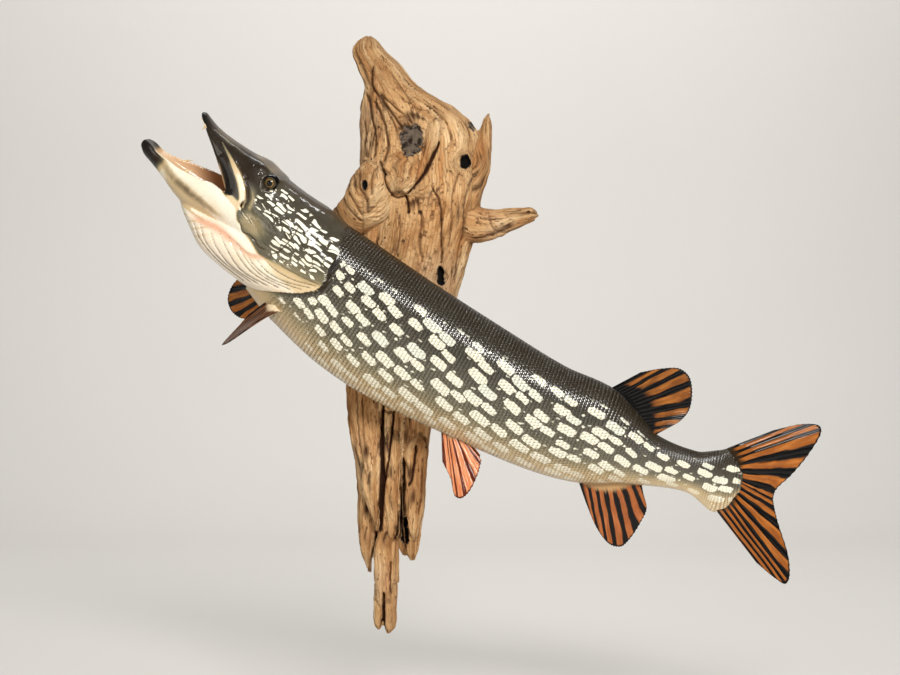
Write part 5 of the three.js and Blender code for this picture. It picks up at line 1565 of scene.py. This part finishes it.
def woodMaterial():
    material, tree, shader = newMaterial("driftwood")
    across, along, strand = axesOf(tree, keptOf(tree, "grain")["Vector"])
    dark, hole, lump = axesOf(tree, keptOf(tree, "creviceShadeAndHollows")["Vector"])
    point = ownPlace(tree)

    def lines(thin, long, detail, roughness=0.55):
        return noiseOf(tree, vectorOf(tree, calc(tree, "MULTIPLY", across, thin), calc(tree, "MULTIPLY", along, long)), 1,
                       detail, roughness)

    fine, coarse = lines(0.8, 0.035, 4, 0.65), lines(0.16, 0.012, 3)
    cloud = noiseOf(tree, point, 14, 4)
    mixed = calc(tree, "ADD", calc(tree, "MULTIPLY", cloud, 0.5), calc(tree, "MULTIPLY", coarse, 0.5))
    colour = rampOf(tree, calc(tree, "MULTIPLY_ADD", strand, 0.12, mixed), [
        (0.3, tone(146, 100, 60)), (0.42, tone(188, 140, 92)), (0.52, tone(212, 168, 118)), (0.63, tone(232, 196, 148)),
        (0.8, tone(208, 178, 140)),
    ])
    orange = stepOf(tree, noiseOf(tree, vectorOf(tree, calc(tree, "MULTIPLY", across, 0.03),
                                                 calc(tree, "MULTIPLY", along, 0.008)), 1, 3), 0.5, 0.68)
    colour = blendOf(tree, calc(tree, "MULTIPLY", orange, 0.5), colour, tone(200, 130, 70))
    grey = stepOf(tree, noiseOf(tree, point, 8, 3), 0.52, 0.68)
    colour = blendOf(tree, calc(tree, "MULTIPLY", grey, 0.5), colour, tone(186, 150, 120))
    hairs = stepOf(tree, fine, 0.48, 0.36)
    colour = blendOf(tree, calc(tree, "MULTIPLY", hairs, 0.62), colour, tone(120, 74, 40))
    dashes = stepOf(tree, lines(0.42, 0.07, 3), 0.41, 0.33)
    colour = blendOf(tree, calc(tree, "MULTIPLY", dashes, 0.8), colour, tone(92, 54, 28))
    # painted shade in the valleys, grooves and cracks
    colour = blendOf(tree, stepOf(tree, dark, 0.1, 0.95), colour, tone(66, 38, 20))
    grid = vectorOf(tree, calc(tree, "MULTIPLY", across, 0.17), calc(tree, "MULTIPLY", along, 0.06))
    # small pits, bumped down and painted dark as the shade inside them
    pits = place(tree, "ShaderNodeTexVoronoi", {"Vector": grid, "Scale": 1, "Randomness": 1}).outputs
    pit = calc(tree, "MULTIPLY", stepOf(tree, pits["Distance"], 0.2, 0.11),
               stepOf(tree, axesOf(tree, pits["Color"])[0], 0.6, 0.64))
    colour = blendOf(tree, calc(tree, "MULTIPLY", pit, 0.85), colour, tone(52, 30, 16))
    bark = blendOf(tree, stepOf(tree, noiseOf(tree, point, 150, 4), 0.42, 0.6), tone(118, 104, 90), tone(50, 40, 32))
    colour = blendOf(tree, stepOf(tree, hole, 0.1, 0.6), colour, bark)
    # near-black painted shade deep inside the deepest hollows
    colour = blendOf(tree, stepOf(tree, hole, 0.84, 0.95), colour, tone(18, 12, 8))
    tree.links.new(colour, shader.inputs["Base Color"])
    height = calc(tree, "ADD", calc(tree, "MULTIPLY", fine, 0.8), calc(tree, "MULTIPLY", coarse, 0.5))
    height = calc(tree, "SUBTRACT", height, calc(tree, "MULTIPLY", pit, 0.4))
    tree.links.new(bumpOf(tree, height, 0.005, 0.9), shader.inputs["Normal"])
    shader.inputs["Roughness"].default_value = 0.85
    shader.inputs["Specular IOR Level"].default_value = 0.25
    return material


wood, woodGrain = woodShape()
carveWood(wood, woodGrain)
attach(wood, "root")
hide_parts("driftwood_horn", "driftwood_crown", "driftwood_stem", "driftwood_foot_left",
            "driftwood_foot_centre", "driftwood_foot_right", "driftwood_prong", "driftwood_splinter",
            "driftwood_ridge", "driftwood_branch", "driftwood_knot", "driftwood_burl")
dress(wood, woodMaterial())
print("driftwood: done")


def steelMaterial():
    material, tree, shader = newMaterial("hanger steel")
    point = ownPlace(tree)
    brushed = noiseOf(tree, place(tree, "ShaderNodeMapping", {"Vector": point, "Scale": (900, 30, 30)}).outputs[0], 1, 2)
    tree.links.new(blendOf(tree, brushed, tone(150, 152, 154), tone(110, 112, 116)), shader.inputs["Base Color"])
    tree.links.new(calc(tree, "MULTIPLY_ADD", brushed, 0.2, 0.25), shader.inputs["Roughness"])
    shader.inputs["Metallic"].default_value = 1.0
    return material


dress(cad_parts["hanger_plate"], steelMaterial())


# The studio's floor, which sweeps up into a backdrop

def addFloor():
    bm = bmesh.new()
    bmesh.ops.create_grid(bm, x_segments=1, y_segments=60, size=0.5)
    for vert in bm.verts:
        share = vert.co.y + 0.5
        flat = view["backdrop"] - 1.2
        run = view["front"] + (flat - view["front"]) * min(1, share / 0.5)
        bend = min(1, max(0, (share - 0.5) / 0.3)) * math.pi / 2
        rise = max(0, (share - 0.8) / 0.2) * 3
        vert.co = (vert.co.x * 14, run + 1.2 * math.sin(bend), view["floor"] + 1.2 * (1 - math.cos(bend)) + rise)
    floor = pieceOf("floor", bm)
    return floor


def floorMaterial():
    material, tree, shader = newMaterial("studio floor")
    shade = noiseOf(tree, ownPlace(tree), 1.5, 2)
    tree.links.new(blendOf(tree, shade, tone(226, 223, 218), tone(222, 219, 214)), shader.inputs["Base Color"])
    shader.inputs["Roughness"].default_value = 0.9
    return material


dress(addFloor(), floorMaterial())
